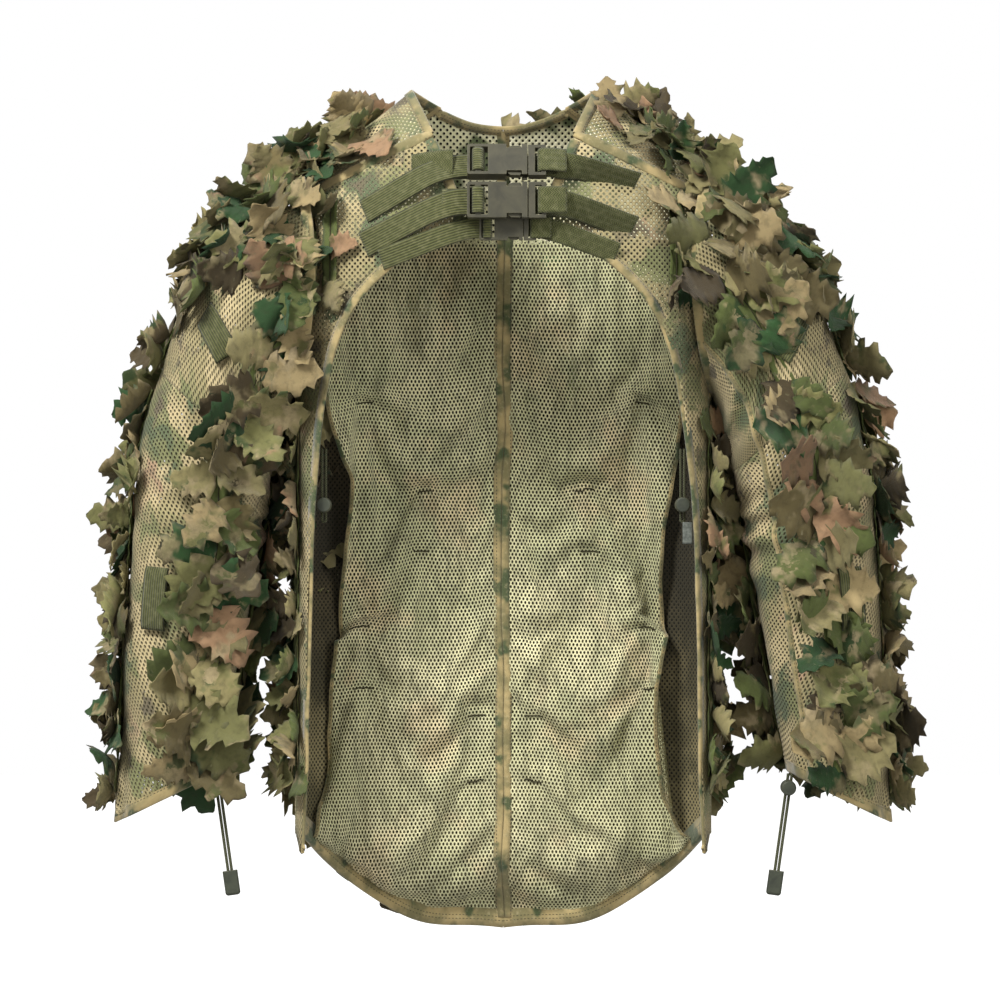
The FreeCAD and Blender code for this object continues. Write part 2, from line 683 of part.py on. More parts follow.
def cuff_cord():
    """Elastic finger cord: two strands side by side from the cuff hem to the cord end."""
    x, y, z = CUFF_TOP
    strands = []
    for side in (-1, 1):
        w = side * STRAND_GAP / 2
        drops = (0, CORD_LONG / 2, CORD_LONG)
        strands.append(rod([V(x + w - CORD_LEAN * d, y, z + CORD_START - d) for d in drops], CORD_R))
    return strands


def cord_end():
    """Moulded grip that holds both strand ends: a flat-sided block with a rounded foot."""
    x, y, z = CUFF_TOP
    d = CORD_LONG - 2
    grip = box(-7, 7, -3.4, 3.4, -CORD_END_LONG, 0)
    grip = grip.makeFillet(3.0, [e for e in grip.Edges if e.BoundBox.ZMax < -CORD_END_LONG + 0.1
                                 or (e.BoundBox.ZLength > 5)])
    pockets = [Part.makeCylinder(CORD_R + 0.1, 6, V(s * STRAND_GAP / 2, 0, -5)) for s in (-1, 1)]
    grip = grip.cut(pockets[0]).cut(pockets[1])
    lean = math.degrees(math.atan(CORD_LEAN))
    grip.rotate(V(0, 0, 0), V(0, 1, 0), lean)
    grip.translate(V(x - CORD_LEAN * d, y, z + CORD_START - d))
    return grip


# ---------------------------------------------------------------- build every node
def build_trunk():
    for name, grid in (("front_panel", front_grid()), ("back_panel", back_grid())):
        piece = cloth_solid(grid, CLOTH)
        export(f"{name}_left", piece)
        export(f"{name}_right", mirrored(piece))
    for name, piece in (("shoulder_yokes", cloth_solid(yoke_grid(), CLOTH)), ("back_lining", lining())):
        export(name, [piece, mirrored(piece)])
    export("lining_centre_tape", centre_tape())
    export("edge_bindings", edge_bindings())
    export("back_loops", back_loops())
    strips = []
    for x, z0, z1, count, phase in ((28, 60, 700, 13, 0), (84, 70, 668, 12, 1), (140, 92, 640, 11, 0)):
        strip = back_strip(x, z0, z1, count, phase)
        strips += [strip, mirrored(strip)]
    for strip in (side_strip(130, 330, 4), shoulder_strip(-0.45, 0), shoulder_strip(0.45, 0)):
        strips += [strip, mirrored(strip)]
    export("trunk_leaves", strips)


def build_sleeves():
    caps = [sleeve_strip(0.5, 1.8, a, 2, k % 2, 13) for k, a in enumerate((-42, 0, 42))]
    export("sleeve_head_leaves", caps + [mirrored(c) for c in caps])
    upper = [sleeve_strip(2.15, 4.0, a, 3, k % 2) for k, a in enumerate(STRIP_ANGLES)]
    lower = [sleeve_strip(6.1, 8.9, a, 5, k % 2) for k, a in enumerate(STRIP_ANGLES)]
    pieces = {
        "sleeve_head": sleeve_section(0.04, HEAD_END - 0.02, 6),
        "sleeve_upper": sleeve_section(HEAD_END, UPPER_END - 0.02, 6),
        "sleeve_elbow": sleeve_section(UPPER_END, ELBOW_END - 0.02, 5),
        "sleeve_forearm": sleeve_section(ELBOW_END, CUFF, 9),
        "cuff_binding": cuff_binding(),
        "upper_arm_leaves": upper,
        "forearm_leaves": lower,
        "upper_arm_loop": [upper_arm_loop()],
        "forearm_loop": [forearm_loop()],
    }
    for name, solids in pieces.items():
        export(f"{name}_left", solids)
        export(f"{name}_right", [mirrored(solid) for solid in solids])


def build_buckles():
    export("elastic_straps", elastic_straps())
    export("web_straps", web_straps())
    for name, *_ in BUCKLES:
        export(f"buckle_socket_{name}", place_buckle(socket(), name))
        export(f"buckle_latch_{name}", place_buckle(latch(), name))
        export(f"latch_arm_upper_{name}", place_buckle(latch_arm(1), name))
        export(f"latch_arm_lower_{name}", place_buckle(latch_arm(-1), name))


def build_cords():
    down = (-CORD_LEAN, 0.0, -1.0)
    shapes = {"lock": cord_lock(), "plunger": plunger(), "spring": lock_spring()}
    waist = {part: set_lock(shape, WAIST_LOCK, (0, -1, 0), (0, 0, -1)) for part, shape in shapes.items()}
    cuff = {part: set_lock(shape, CUFF_LOCK, (0, -1, 0), down) for part, shape in shapes.items()}
    export("waist_cords", [waist_cord(), mirrored(waist_cord())])
    export("waist_cord_locks", [waist["lock"], mirrored(waist["lock"])])
    export("waist_lock_springs", [waist["spring"], mirrored(waist["spring"])])
    export("waist_tag", waist_tag())
    for side, flip in (("left", lambda s: s), ("right", mirrored)):
        export(f"waist_plunger_{side}", flip(waist["plunger"]))
        export(f"cuff_cord_{side}", [flip(strand) for strand in cuff_cord()])
        export(f"cord_end_{side}", flip(cord_end()))
        export(f"cuff_lock_{side}", flip(cuff["lock"]))
        export(f"cuff_plunger_{side}", flip(cuff["plunger"]))
        export(f"cuff_lock_spring_{side}", flip(cuff["spring"]))


build_trunk()
build_sleeves()
build_buckles()
build_cords()
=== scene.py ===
import math

import bpy
import numpy as np
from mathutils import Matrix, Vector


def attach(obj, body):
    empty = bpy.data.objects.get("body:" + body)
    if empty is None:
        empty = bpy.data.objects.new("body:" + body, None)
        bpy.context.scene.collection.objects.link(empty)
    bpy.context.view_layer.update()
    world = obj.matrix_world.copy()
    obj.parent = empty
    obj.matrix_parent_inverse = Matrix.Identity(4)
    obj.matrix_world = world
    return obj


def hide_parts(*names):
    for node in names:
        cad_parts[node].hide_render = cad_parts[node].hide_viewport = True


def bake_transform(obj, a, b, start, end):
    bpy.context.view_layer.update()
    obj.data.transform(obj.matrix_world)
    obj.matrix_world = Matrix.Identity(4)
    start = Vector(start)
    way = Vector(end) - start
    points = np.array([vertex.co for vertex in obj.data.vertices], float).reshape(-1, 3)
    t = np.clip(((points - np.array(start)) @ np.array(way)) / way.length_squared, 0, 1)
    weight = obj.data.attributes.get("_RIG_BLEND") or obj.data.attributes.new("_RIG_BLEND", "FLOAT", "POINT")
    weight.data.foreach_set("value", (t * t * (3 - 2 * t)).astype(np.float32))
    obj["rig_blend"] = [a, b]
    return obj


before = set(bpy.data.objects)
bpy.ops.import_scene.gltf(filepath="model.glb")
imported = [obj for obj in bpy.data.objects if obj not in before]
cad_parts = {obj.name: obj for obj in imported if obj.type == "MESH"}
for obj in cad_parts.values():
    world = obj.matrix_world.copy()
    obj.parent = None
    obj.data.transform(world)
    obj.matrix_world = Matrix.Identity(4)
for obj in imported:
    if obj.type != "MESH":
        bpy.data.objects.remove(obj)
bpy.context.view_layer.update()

# Looks of the ghillie jacket round its CAD frame. Shapes are worked out in millimetres, in the CAD's axes
# (the wearer faces -Y, the wearer's left is +X, +Z up), and are written to meshes in metres.
MM = 0.001
SIDES = {"left": 1.0, "right": -1.0}

# ---------------------------------------------------------------- the CAD's body form
SHOULDER_NECK, SHOULDER_TIP = (86.0, 787.0), (188.0, 714.0)
BODY_HALF_WIDTH, HEM_SIDE_RISE, SHOULDER_ROUNDING = 193.0, 98.0, 150.0
FRONT_YOKE_NECK, BACK_YOKE_NECK, YOKE_TIP = (66.0, 743.0), (60.0, 773.0), (180.0, 690.0)
NECK_BACK_Z = 757.0
FRONT_ROWS = [
    ((187, 80), (192, 98)), ((183, 138), (193, 150)), ((181, 220), (193, 225)), ((180, 290), (193, 300)),
    ((178, 347), (193, 360)), ((176, 400), (193, 410)), ((171, 450), (193, 460)), ((166, 490), (192, 508)),
    ((160, 525), (184, 538)), ((150, 560), (177, 568)), ((133, 592), (173, 596)), ((98, 627), (171, 622)),
    ((64, 643), (172, 640)), ((32, 654), (173, 655)), ((44, 690), (175, 668)), ((57, 720), (178, 680)),
    ((66, 743), (180, 690)),
]
SLEEVE_RINGS = [
    (188, 714, 195, 508, 76, 16), (240, 682, 202, 488, 80, 6), (282, 622, 208, 466, 78, 0),
    (316, 540, 214, 440, 72, 0), (338, 462, 220, 410, 66, 0), (345, 412, 225, 382, 62, 0),
    (347, 350, 231, 336, 60, 0), (352, 262, 244, 262, 56, 0), (357, 180, 257, 205, 52, 0),
    (361, 112, 266, 158, 50, 0),
]
HEAD_END, ELBOW_START, ELBOW_END, CUFF = 2.0, 4.2, 5.8, 9.0
BUCKLES = {"top": (0, 716, 1.0, 30, 13), "mid": (0, 679, 1.0, 6, 27.2), "low": (2, 655, 0.72, 0, 7.2)}


def mix(a, b, k):
    return a + (b - a) * k


def front_depth(z):
    return np.interp(z, [0, 300, 560, 650, 740, 800], [112, 112, 118, 110, 84, 60])


def back_depth(z):
    return np.interp(z, [0, 300, 560, 660, 760, 800], [124, 120, 128, 118, 96, 84])


def shoulder_z(x):
    slope = (SHOULDER_TIP[1] - SHOULDER_NECK[1]) / (SHOULDER_TIP[0] - SHOULDER_NECK[0])
    past = np.abs(x) - SHOULDER_NECK[0]
    return SHOULDER_NECK[1] + np.where(past > 0, slope * past, -0.2 * past)


def form_depth(x, z, side):
    """y of the body form at (x, z); side is -1 for the front and 1 for the back."""
    across = np.minimum(1.0, np.abs(x) / BODY_HALF_WIDTH)
    down = np.clip((shoulder_z(x) - z) / SHOULDER_ROUNDING, 0, 1)
    top = np.sqrt(np.maximum(0.0, 1.0 - (1.0 - down) ** 2))
    depth = np.where(np.asarray(side) < 0, front_depth(z), back_depth(z))
    return side * depth * (1.0 - across ** 2.6) ** 0.45 * top


def outer_x(z):
    return np.interp(z, [100, 150, 460, 508, 538, 568, 596, 622, 655, 690],
                     [192, 193, 193, 192, 184, 177, 173, 171, 173, 180])


def hem_z(x):
    """The curved hem, with the slight waves of sewn cloth."""
    across = np.abs(x) / BODY_HALF_WIDTH
    return HEM_SIDE_RISE * across ** 2.8 + 2.0 * np.sin(across * 11.4) * (1 - np.minimum(across, 1) ** 4)


def lining_edge(z):
    return np.interp(z, [72, 160, 241, 347, 420, 480, 560, 660], [180, 167, 159, 153, 158, 166, 172, 172])


def lining_y(x, z):
    return 0.75 * form_depth(x, np.minimum(z, 600), 1)


def chest_y(x, z):
    return form_depth(np.maximum(np.abs(x), 34), z, -1)


def basis(count, ts):
    """Values at ts of the cubic B-spline functions of a clamped, evenly knotted curve of count poles."""
    degree = min(3, count - 1)
    spans = count - degree
    knots = np.concatenate([np.zeros(degree), np.arange(spans + 1) / spans, np.ones(degree)])
    ts = np.clip(np.asarray(ts, float), 0, 1 - 1e-9)
    rows = len(knots) - 1
    out = np.array([(knots[i] <= ts) & (ts < knots[i + 1]) for i in range(rows)], float).T
    for d in range(1, degree + 1):
        new = np.zeros_like(out)
        for i in range(rows - d):
            rise, fall = knots[i + d] - knots[i], knots[i + d + 1] - knots[i + 1]
            if rise > 0:
                new[:, i] += (ts - knots[i]) / rise * out[:, i]
            if fall > 0:
                new[:, i] += (knots[i + d + 1] - ts) / fall * out[:, i + 1]
        out = new
    return out[:, :count]


def spline_grid(poles, us, vs):
    return np.einsum("ai,bj,ijc->abc", basis(len(poles), us), basis(len(poles[0]), vs), poles)


def xyz(x, y, z):
    return np.stack(np.broadcast_arrays(x, y, z), axis=-1).astype(float)


UNDERARM_Z = 508.0      # the side seams run from the hem up to here
SIDE_SEAM_GAP = 0.3     # from a side seam to the edge of either panel
ARMHOLE_GAP = 0.6       # from the armhole line to the edge of either panel
YOKE_OVERLAP = 1.2      # from the panels' edges up to the yoke's


def front_poles():
    rows = np.array(FRONT_ROWS, float)
    u = np.sin(math.pi / 2 * np.arange(9) / 8)[None, :]
    xo = rows[:, 1, 0] - np.where(rows[:, 1, 1] <= UNDERARM_Z, ARMHOLE_GAP, 0.0)
    x = mix(rows[:, 0, 0][:, None], xo[:, None], u)
    z = mix(rows[:, 0, 1][:, None], rows[:, 1, 1][:, None], u)
    poles = xyz(x, form_depth(x, z, -1), z)
    poles[rows[:, 1, 1] <= UNDERARM_Z, -1, :2] = BODY_HALF_WIDTH, -SIDE_SEAM_GAP
    return poles


def yoke_spot(u, v):
    """Yoke over the shoulder: u from neck to armhole, v from the front seam (-1) to the back seam (1)."""
    u, v = np.asarray(u, float), np.asarray(v, float)
    ridge_x = mix(SHOULDER_NECK[0], SHOULDER_TIP[0] - 2, u)
    ridge_z = mix(SHOULDER_NECK[1], SHOULDER_TIP[1], u)
    seam_x, seam_z = (np.where(v < 0, mix(FRONT_YOKE_NECK[k], YOKE_TIP[k], u),
                               mix(BACK_YOKE_NECK[k], YOKE_TIP[k], u)) for k in (0, 1))
    seam_z = seam_z + YOKE_OVERLAP
    x, z = mix(ridge_x, seam_x, v * v), mix(ridge_z, seam_z, v * v)
    return xyz(x, form_depth(x, z, np.where(v < 0, -1.0, 1.0)), z)


def yoke_poles():
    return yoke_spot(np.arange(7)[:, None] / 6, (np.arange(11) / 5 - 1)[None, :])


def back_spot(u, v):
    (neck_x, neck_z), (tip_x, tip_z) = BACK_YOKE_NECK, YOKE_TIP
    crown = np.where(u * tip_x < neck_x, mix(NECK_BACK_Z, neck_z, (u * tip_x / neck_x) ** 2),
                     mix(neck_z, tip_z, (u * tip_x - neck_x) / (tip_x - neck_x)))
    side_z = mix(HEM_SIDE_RISE, tip_z, v)
    x = u * (outer_x(side_z) - ARMHOLE_GAP)
    z = mix(hem_z(u * BODY_HALF_WIDTH), crown, v)
    spots = xyz(x, form_depth(x, z, 1), z)
    at_seam = np.broadcast_to((np.asarray(u) == 1) & (np.asarray(side_z) <= UNDERARM_Z), spots.shape[:-1])
    spots[at_seam, :2] = BODY_HALF_WIDTH, SIDE_SEAM_GAP
    return spots


def back_poles():
    u = np.sin(math.pi / 2 * np.arange(38) / 37)
    return back_spot(u[None, :], (np.arange(41) / 40)[:, None])


def ring_values(s):
    """Sleeve ring numbers, smoothed along the sleeve the way the CAD's surfaces are."""
    count = len(SLEEVE_RINGS)
    spans = count - 3
    knots = np.concatenate([np.zeros(3), np.arange(spans + 1) / spans, np.ones(3)])
    means = np.array([knots[i + 1:i + 4].mean() for i in range(count)])
    ts = np.interp(np.asarray(s, float).ravel(), np.arange(count), means)
    values = basis(count, ts) @ np.array(SLEEVE_RINGS, float)
    return values.reshape(np.shape(s) + (6,))


def sleeve_spot(s, angle, off=0.0):
    """Point on the wearer's left sleeve: angle 0 is its outer side, -90 its front, 180 its inner side."""
    s, angle = np.broadcast_arrays(np.asarray(s, float), np.asarray(angle, float))
    ring = ring_values(s)
    cx, cz = (ring[..., 0] + ring[..., 2]) / 2, (ring[..., 1] + ring[..., 3]) / 2
    hx, hz = (ring[..., 0] - ring[..., 2]) / 2, (ring[..., 1] - ring[..., 3]) / 2
    size = np.hypot(hx, hz)
    c, sn = np.cos(np.radians(angle)), np.sin(np.radians(angle))
    grow = (size + off) / size
    return xyz(cx + hx * grow * c - ring[..., 5] * sn * sn, (ring[..., 4] + off) * sn, cz + hz * grow * c)


# ---------------------------------------------------------------- mesh tools
def unit(v):
    return v / (np.linalg.norm(v, axis=-1, keepdims=True) + 1e-12)


def noise3(points, cell, seed):
    """Smooth noise in -1..1 whose bumps are about cell mm across."""
    lattice = np.random.default_rng(seed).uniform(-1, 1, (16, 16, 16))
    q = points / cell + 160.0
    i = np.floor(q).astype(int)
    f = q - i
    f = f * f * (3 - 2 * f)
    total = np.zeros(points.shape[:-1])
    for corner in np.ndindex(2, 2, 2):
        weight = np.ones(points.shape[:-1])
        index = []
        for axis, step in enumerate(corner):
            weight = weight * (f[..., axis] if step else 1 - f[..., axis])
            index.append((i[..., axis] + step) % 16)
        total += weight * lattice[tuple(index)]
    return total


def grid_normals(grid, closed=False):
    if closed:
        grid = np.concatenate([grid[:, -2:-1], grid, grid[:, 1:2]], axis=1)
    n = unit(np.cross(np.gradient(grid, axis=0), np.gradient(grid, axis=1)))
    return n[:, 1:-1] if closed else n


def place(name, data):
    """A new object in the scene."""
    obj = bpy.data.objects.new(name, data)
    bpy.context.scene.collection.objects.link(obj)
    return obj


class Batch:
    """Quads gathered into one piece: corners in mm, UVs in metres, material number, tone and share."""

    def __init__(self):
        self.rows = {key: [] for key in ("verts", "faces", "uv", "mat", "tone", "weight")}
        self.count = 0

    def add(self, verts, faces, uv, mat=0, tone=0.5, weight=0.0):
        verts, faces = np.asarray(verts, float).reshape(-1, 3), np.asarray(faces, int)
        row = (verts, faces + self.count, np.asarray(uv, float).reshape(-1, 2),
               np.broadcast_to(mat, len(faces)).astype(int),
               np.broadcast_to(tone, len(verts)).astype(float),
               np.broadcast_to(weight, len(verts)).astype(float))
        for held, values in zip(self.rows.values(), row):
            held.append(values)
        self.count += len(verts)

    def piece(self, name, paints, body, nodes, slot, line=None):
        """Makes the piece in place of CAD nodes. With a line, it bends along it between the two bodies."""
        data = {key: np.concatenate(value) for key, value in self.rows.items()}
        faces = data["faces"]
        mesh = bpy.data.meshes.new(name)
        mesh.vertices.add(len(data["verts"]))
        mesh.loops.add(faces.size)
        mesh.polygons.add(len(faces))
        mesh.vertices.foreach_set("co", (data["verts"] * MM).ravel())
        mesh.loops.foreach_set("vertex_index", faces.ravel())
        mesh.polygons.foreach_set("loop_start", np.arange(len(faces)) * 4)
        mesh.polygons.foreach_set("material_index", data["mat"])
        mesh.polygons.foreach_set("use_smooth", np.full(len(faces), True))
        mesh.uv_layers.new(name="UVMap").data.foreach_set("uv", data["uv"][faces.ravel()].ravel())
        mesh.attributes.new("tone", "FLOAT", "POINT").data.foreach_set("value", data["tone"])
        mesh.update(calc_edges=True)
        mesh.validate()
        for paint in paints.split():
            mesh.materials.append(MATERIALS[paint])
        obj = place(name, mesh)
        if line:
            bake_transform(obj, *body, *line)
            mesh.attributes["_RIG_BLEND"].data.foreach_set("value", data["weight"].astype(np.float32))
        else:
            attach(obj, body)
        if nodes:
            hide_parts(*nodes.split())


def grid_faces(rows, cols):
    base = (np.arange(rows - 1)[:, None] * cols + np.arange(cols - 1)[None, :]).ravel()
    return np.stack([base, base + cols, base + cols + 1, base + 1], axis=1)


def border_loop(rows, cols):
    top, right = np.arange(cols), np.arange(1, rows) * cols + cols - 1
    bottom, left = (rows - 1) * cols + np.arange(cols - 2, -1, -1), np.arange(rows - 2, 0, -1) * cols
    return np.concatenate([top, right, bottom, left])


def add_sheet(batch, grid, uv, thick, mats=(0, 0), normals=None, **kw):
    """A sheet with two skins and a rim. mats: one for the skin on the normals' side, one for the other."""
    n = grid_normals(grid) if normals is None else normals
    size = grid.shape[0] * grid.shape[1]
    faces, ring = grid_faces(*grid.shape[:2]), border_loop(*grid.shape[:2])
    after = np.roll(ring, -1)
    rim = np.stack([ring, after, after + size, ring + size], axis=1)
    mat = np.concatenate([np.broadcast_to(mats[0], len(faces)), np.broadcast_to(mats[1], len(faces)),
                          np.full(len(rim), mats[0])])
    if np.ndim(kw.get("weight", 0)):
        kw["weight"] = np.tile(np.ravel(kw["weight"]), 2)
    batch.add(np.stack([grid + n * thick / 2, grid - n * thick / 2]),
              np.concatenate([faces, faces[:, ::-1] + size, rim]), np.stack([uv, uv]), mat, **kw)


def metres(u, v):
    return np.stack(np.broadcast_arrays(u, v), axis=-1) * MM


def arc_uv(grid):
    """UVs that follow the sheet's own lengths: u across, v along."""
    across = np.linalg.norm(np.diff(grid, axis=1), axis=2)
    along = np.linalg.norm(np.diff(grid, axis=0), axis=2)
    u = np.concatenate([np.zeros((len(grid), 1)), np.cumsum(across, axis=1)], axis=1)
    v = np.concatenate([np.zeros((1, grid.shape[1])), np.cumsum(along, axis=0)])
    return metres(u - u[:, -1:] / 2, v)


def tangents(points):
    return unit(np.gradient(points, axis=0))


def run_length(points):
    return np.concatenate([[0], np.cumsum(np.linalg.norm(np.diff(points, axis=0), axis=1))])


def add_profile(batch, points, side, up, profile, mat=0, weight=0.0):
    """Sweeps a closed profile of (side, up) corners along a path. UV: u round the profile, v along."""
    ring = np.array([*profile, profile[0]], float)
    grid = points[:, None] + side[:, None] * ring[None, :, :1] + up[:, None] * ring[None, :, 1:]
    uv = metres(run_length(ring)[None, :], run_length(points)[:, None])
    rows, cols = grid.shape[:2]
    if np.ndim(weight):
        weight = np.repeat(weight, cols)
    batch.add(grid, grid_faces(rows, cols), uv, mat, weight=weight)
    if cols % 2:
        k = np.arange((cols - 1) // 2 - 1)
        cap = np.stack([k, k + 1, cols - 3 - k, cols - 2 - k], axis=1)
        batch.add(grid, cap[:, ::-1], uv, mat, weight=weight)
        batch.add(grid, cap + (rows - 1) * cols, uv, mat, weight=weight)


def path_frames(points, hint):
    """Side and up directions along a path, up leaning towards hint."""
    way = tangents(points)
    side = unit(np.cross(way, np.broadcast_to(hint, points.shape)))
    return side, unit(np.cross(side, way))


def smooth_path(points, count):
    """Points along a cubic B-spline led by a short list of poles."""
    points = np.asarray(points, float)
    return basis(len(points), np.linspace(0, 1, count)) @ points


def circle(radius, corners=10):
    a = np.linspace(0, 2 * math.pi, corners, endpoint=False)
    return np.stack([radius * np.cos(a), radius * np.sin(a)], axis=1)


def flip(points, side):
    """The same points on the wearer's left (1) or mirrored to the right (-1)."""
    return points * np.array([side, 1.0, 1.0])


def facing(grid, way, closed=False):
    """Normals of a sheet, all turned to the side that its middle shares with way."""
    normals = grid_normals(grid, closed)
    return normals * np.sign(normals[len(grid) // 2, grid.shape[1] // 2] @ np.array(way, float))


# ---------------------------------------------------------------- materials
class Graph:
    """Short names for building a material out of nodes."""

    def __init__(self, name):
        self.material = bpy.data.materials.new(name)
        self.material.use_nodes = True
        self.tree = self.material.node_tree
        self.shader = self.tree.nodes["Principled BSDF"]

    def link(self, value, socket):
        if isinstance(value, bpy.types.NodeSocket):
            self.tree.links.new(value, socket)
        elif socket.type == "RGBA" and len(value) == 3:
            socket.default_value = (*value, 1.0)
        else:
            socket.default_value = value

    def node(self, kind, inputs=None, **props):
        made = self.tree.nodes.new(kind)
        for key, value in props.items():
            setattr(made, key, value)
        for key, value in (inputs or {}).items():
            self.link(value, made.inputs[key])
        return made

    def math(self, operation, a, b=0.0):
        return self.node("ShaderNodeMath", {0: a, 1: b}, operation=operation).outputs[0]

    def times(self, a, b):
        return self.math("MULTIPLY", a, b)

    def plus(self, a, b):
        return self.math("ADD", a, b)

    def minus(self, a, b):
        return self.math("SUBTRACT", a, b)

    def wave(self, value, pitch):
        return self.math("SINE", self.times(value, 2 * math.pi / pitch))

    def tint(self, color, where, amount, paint):
        """Paints over part of a color: amount of the paint where the value is 1."""
        return self.blend(self.times(where, amount), color, paint)

    def patches(self, vector, scale, low, high, detail=3, rough=0.6, shift=None):
        """Soft-edged patches: noise that is 0 below low and 1 above high."""
        vector = self.moved(vector, shift=(*shift, 0)) if shift else vector
        return self.step(self.noise(vector, scale, detail, rough), low, high)

    def uv(self):
        return self.node("ShaderNodeTexCoord").outputs["UV"]

    def parts(self, vector):
        made = self.node("ShaderNodeSeparateXYZ", {0: vector})
        return made.outputs[0], made.outputs[1]

    def moved(self, vector, scale=(1, 1, 1), turn=0.0, shift=(0, 0, 0)):
        made = self.node("ShaderNodeMapping", {"Vector": vector})
        made.inputs["Scale"].default_value = scale
        made.inputs["Rotation"].default_value = (0, 0, math.radians(turn))
        made.inputs["Location"].default_value = shift
        return made.outputs[0]

    def noise(self, vector, scale, detail=2.0, rough=0.5, distort=0.0):
        made = self.node("ShaderNodeTexNoise", {"Vector": vector, "Scale": scale, "Detail": detail,
                                                "Roughness": rough, "Distortion": distort})
        return made.outputs[0]

    def step(self, value, low, high):
        made = self.node("ShaderNodeMapRange", {"Value": value, "From Min": low, "From Max": high})
        made.interpolation_type = "SMOOTHSTEP"
        return made.outputs[0]

    def blend(self, factor, a, b):
        made = self.node("ShaderNodeMix", data_type="RGBA", clamp_factor=True)
        self.link(factor, made.inputs[0])
        self.link(a, made.inputs[6])
        self.link(b, made.inputs[7])
        return made.outputs[2]

    def finish(self, color, rough, height=None, depth=0.0003, alpha=None, sheen=0.0, strength=0.6):
        """The material, with bumps of that depth in metres, and holes where alpha is 0."""
        shader = self.shader
        self.link(color, shader.inputs["Base Color"])
        self.link(rough, shader.inputs["Roughness"])
        shader.inputs["Specular IOR Level"].default_value = 0.2
        if sheen:
            shader.inputs["Sheen Weight"].default_value = sheen
            shader.inputs["Sheen Roughness"].default_value = 0.6
        if height is not None:
            bump = self.node("ShaderNodeBump", {"Height": height, "Distance": depth, "Strength": strength})
            self.link(bump.outputs[0], shader.inputs["Normal"])
        if alpha is not None:
            self.link(alpha, shader.inputs["Alpha"])
        return self.material


def srgb(r, g, b):
    return tuple(((c / 255 + 0.055) / 1.055) ** 2.4 if c > 10 else c / 255 / 12.92 for c in (r, g, b))


KHAKI, TAN, OLIVE = srgb(150, 136, 92), srgb(190, 171, 126), srgb(100, 106, 56)
GREEN, BROWN, PINK = srgb(38, 70, 32), srgb(68, 56, 38), srgb(168, 134, 104)


def camouflage(graph, where, scale=1.0, ground=KHAKI, second=TAN, blur=0.0):
    """Soft-edged blotches of tan, olive, green and brown over a khaki ground: a plain generic pattern."""
    warps = [graph.times(graph.noise(vector, size * scale, 3, 0.6), 0.035 / scale)
             for vector, size in ((graph.moved(where, shift=(3.1, 7.7, 0)), 60), (where, 55))]
    offset = graph.node("ShaderNodeCombineXYZ", dict(enumerate(warps))).outputs[0]
    warped = graph.node("ShaderNodeVectorMath", {0: where, 1: offset}, operation="ADD").outputs[0]
    color = graph.blend(graph.patches(warped, 11 * scale, 0.47, 0.58, rough=0.55), ground, second)
    for shift, size, paint, low, high in (
            ((1.3, 4.2), 15, OLIVE, 0.51, 0.56), ((8.4, 2.9), 12, PINK, 0.62, 0.68),
            ((5.5, 9.1), 14, GREEN, 0.565, 0.60), ((2.2, 6.4), 19, BROWN, 0.60, 0.635)):
        field = graph.patches(warped, size * scale, low - blur, high + blur, 4, shift=shift)
        color = graph.blend(field, color, paint)
    fleck = graph.patches(where, 300, 0.35, 0.65, 2)
    return graph.blend(fleck, graph.blend(0.14, color, (0.0, 0.0, 0.0)), color)


def hole_distance(graph, where, pitch, turn=0.0, squash=1.0, stagger=False):
    """Distance in mm from the middle of the nearest hole of a lattice with that pitch in mm."""
    x, y = graph.parts(graph.moved(where, scale=(1000 / pitch,) * 3, turn=turn))
    if stagger:
        x = graph.plus(x, graph.times(graph.math("MODULO", graph.math("FLOOR", y), 2.0), 0.5))
    dx = graph.minus(graph.math("FRACT", x), 0.5)
    dy = graph.times(graph.minus(graph.math("FRACT", y), 0.5), squash)
    return graph.times(graph.math("SQRT", graph.plus(graph.times(dx, dx), graph.times(dy, dy))), pitch)


def camo_net(name, turn, open_holes=True, radius=1.05, pitch=4.1, inside=None, rim_shade=0.55, fuzz=0.25):
    """Camouflage printed on a knitted mesh with round holes, with painted shade round the rims of the holes.
    """
    graph = Graph(name)
    where = graph.uv()
    near = hole_distance(graph, where, pitch, turn)
    solid = graph.step(near, radius - 0.18, radius + 0.18)
    rim = graph.step(near, radius, radius + 0.75)
    yarn = graph.noise(graph.moved(where, scale=(1, 3, 1)), 900, 1, 0.5)
    color = camouflage(graph, where, blur=0.02) if inside is None else inside(graph, where)
    # Painted shade: the yarn darkens round each hole's rim, where the mesh dips into the hole.
    color = graph.tint(color, graph.minus(1.0, rim), rim_shade, srgb(40, 36, 20))
    color = graph.tint(color, yarn, fuzz, srgb(222, 212, 176))
    height = graph.plus(rim, graph.times(yarn, 0.35))
    if open_holes:
        return graph.finish(color, 0.88, height, 0.0005, alpha=solid, sheen=0.1)
    # Closed holes are painted dark: painted shade in place of the dark inside that would be seen through the
    # mesh.
    color = graph.blend(solid, srgb(20, 19, 10), color)
    return graph.finish(color, 0.9, graph.times(height, solid), 0.0006, sheen=0.03)


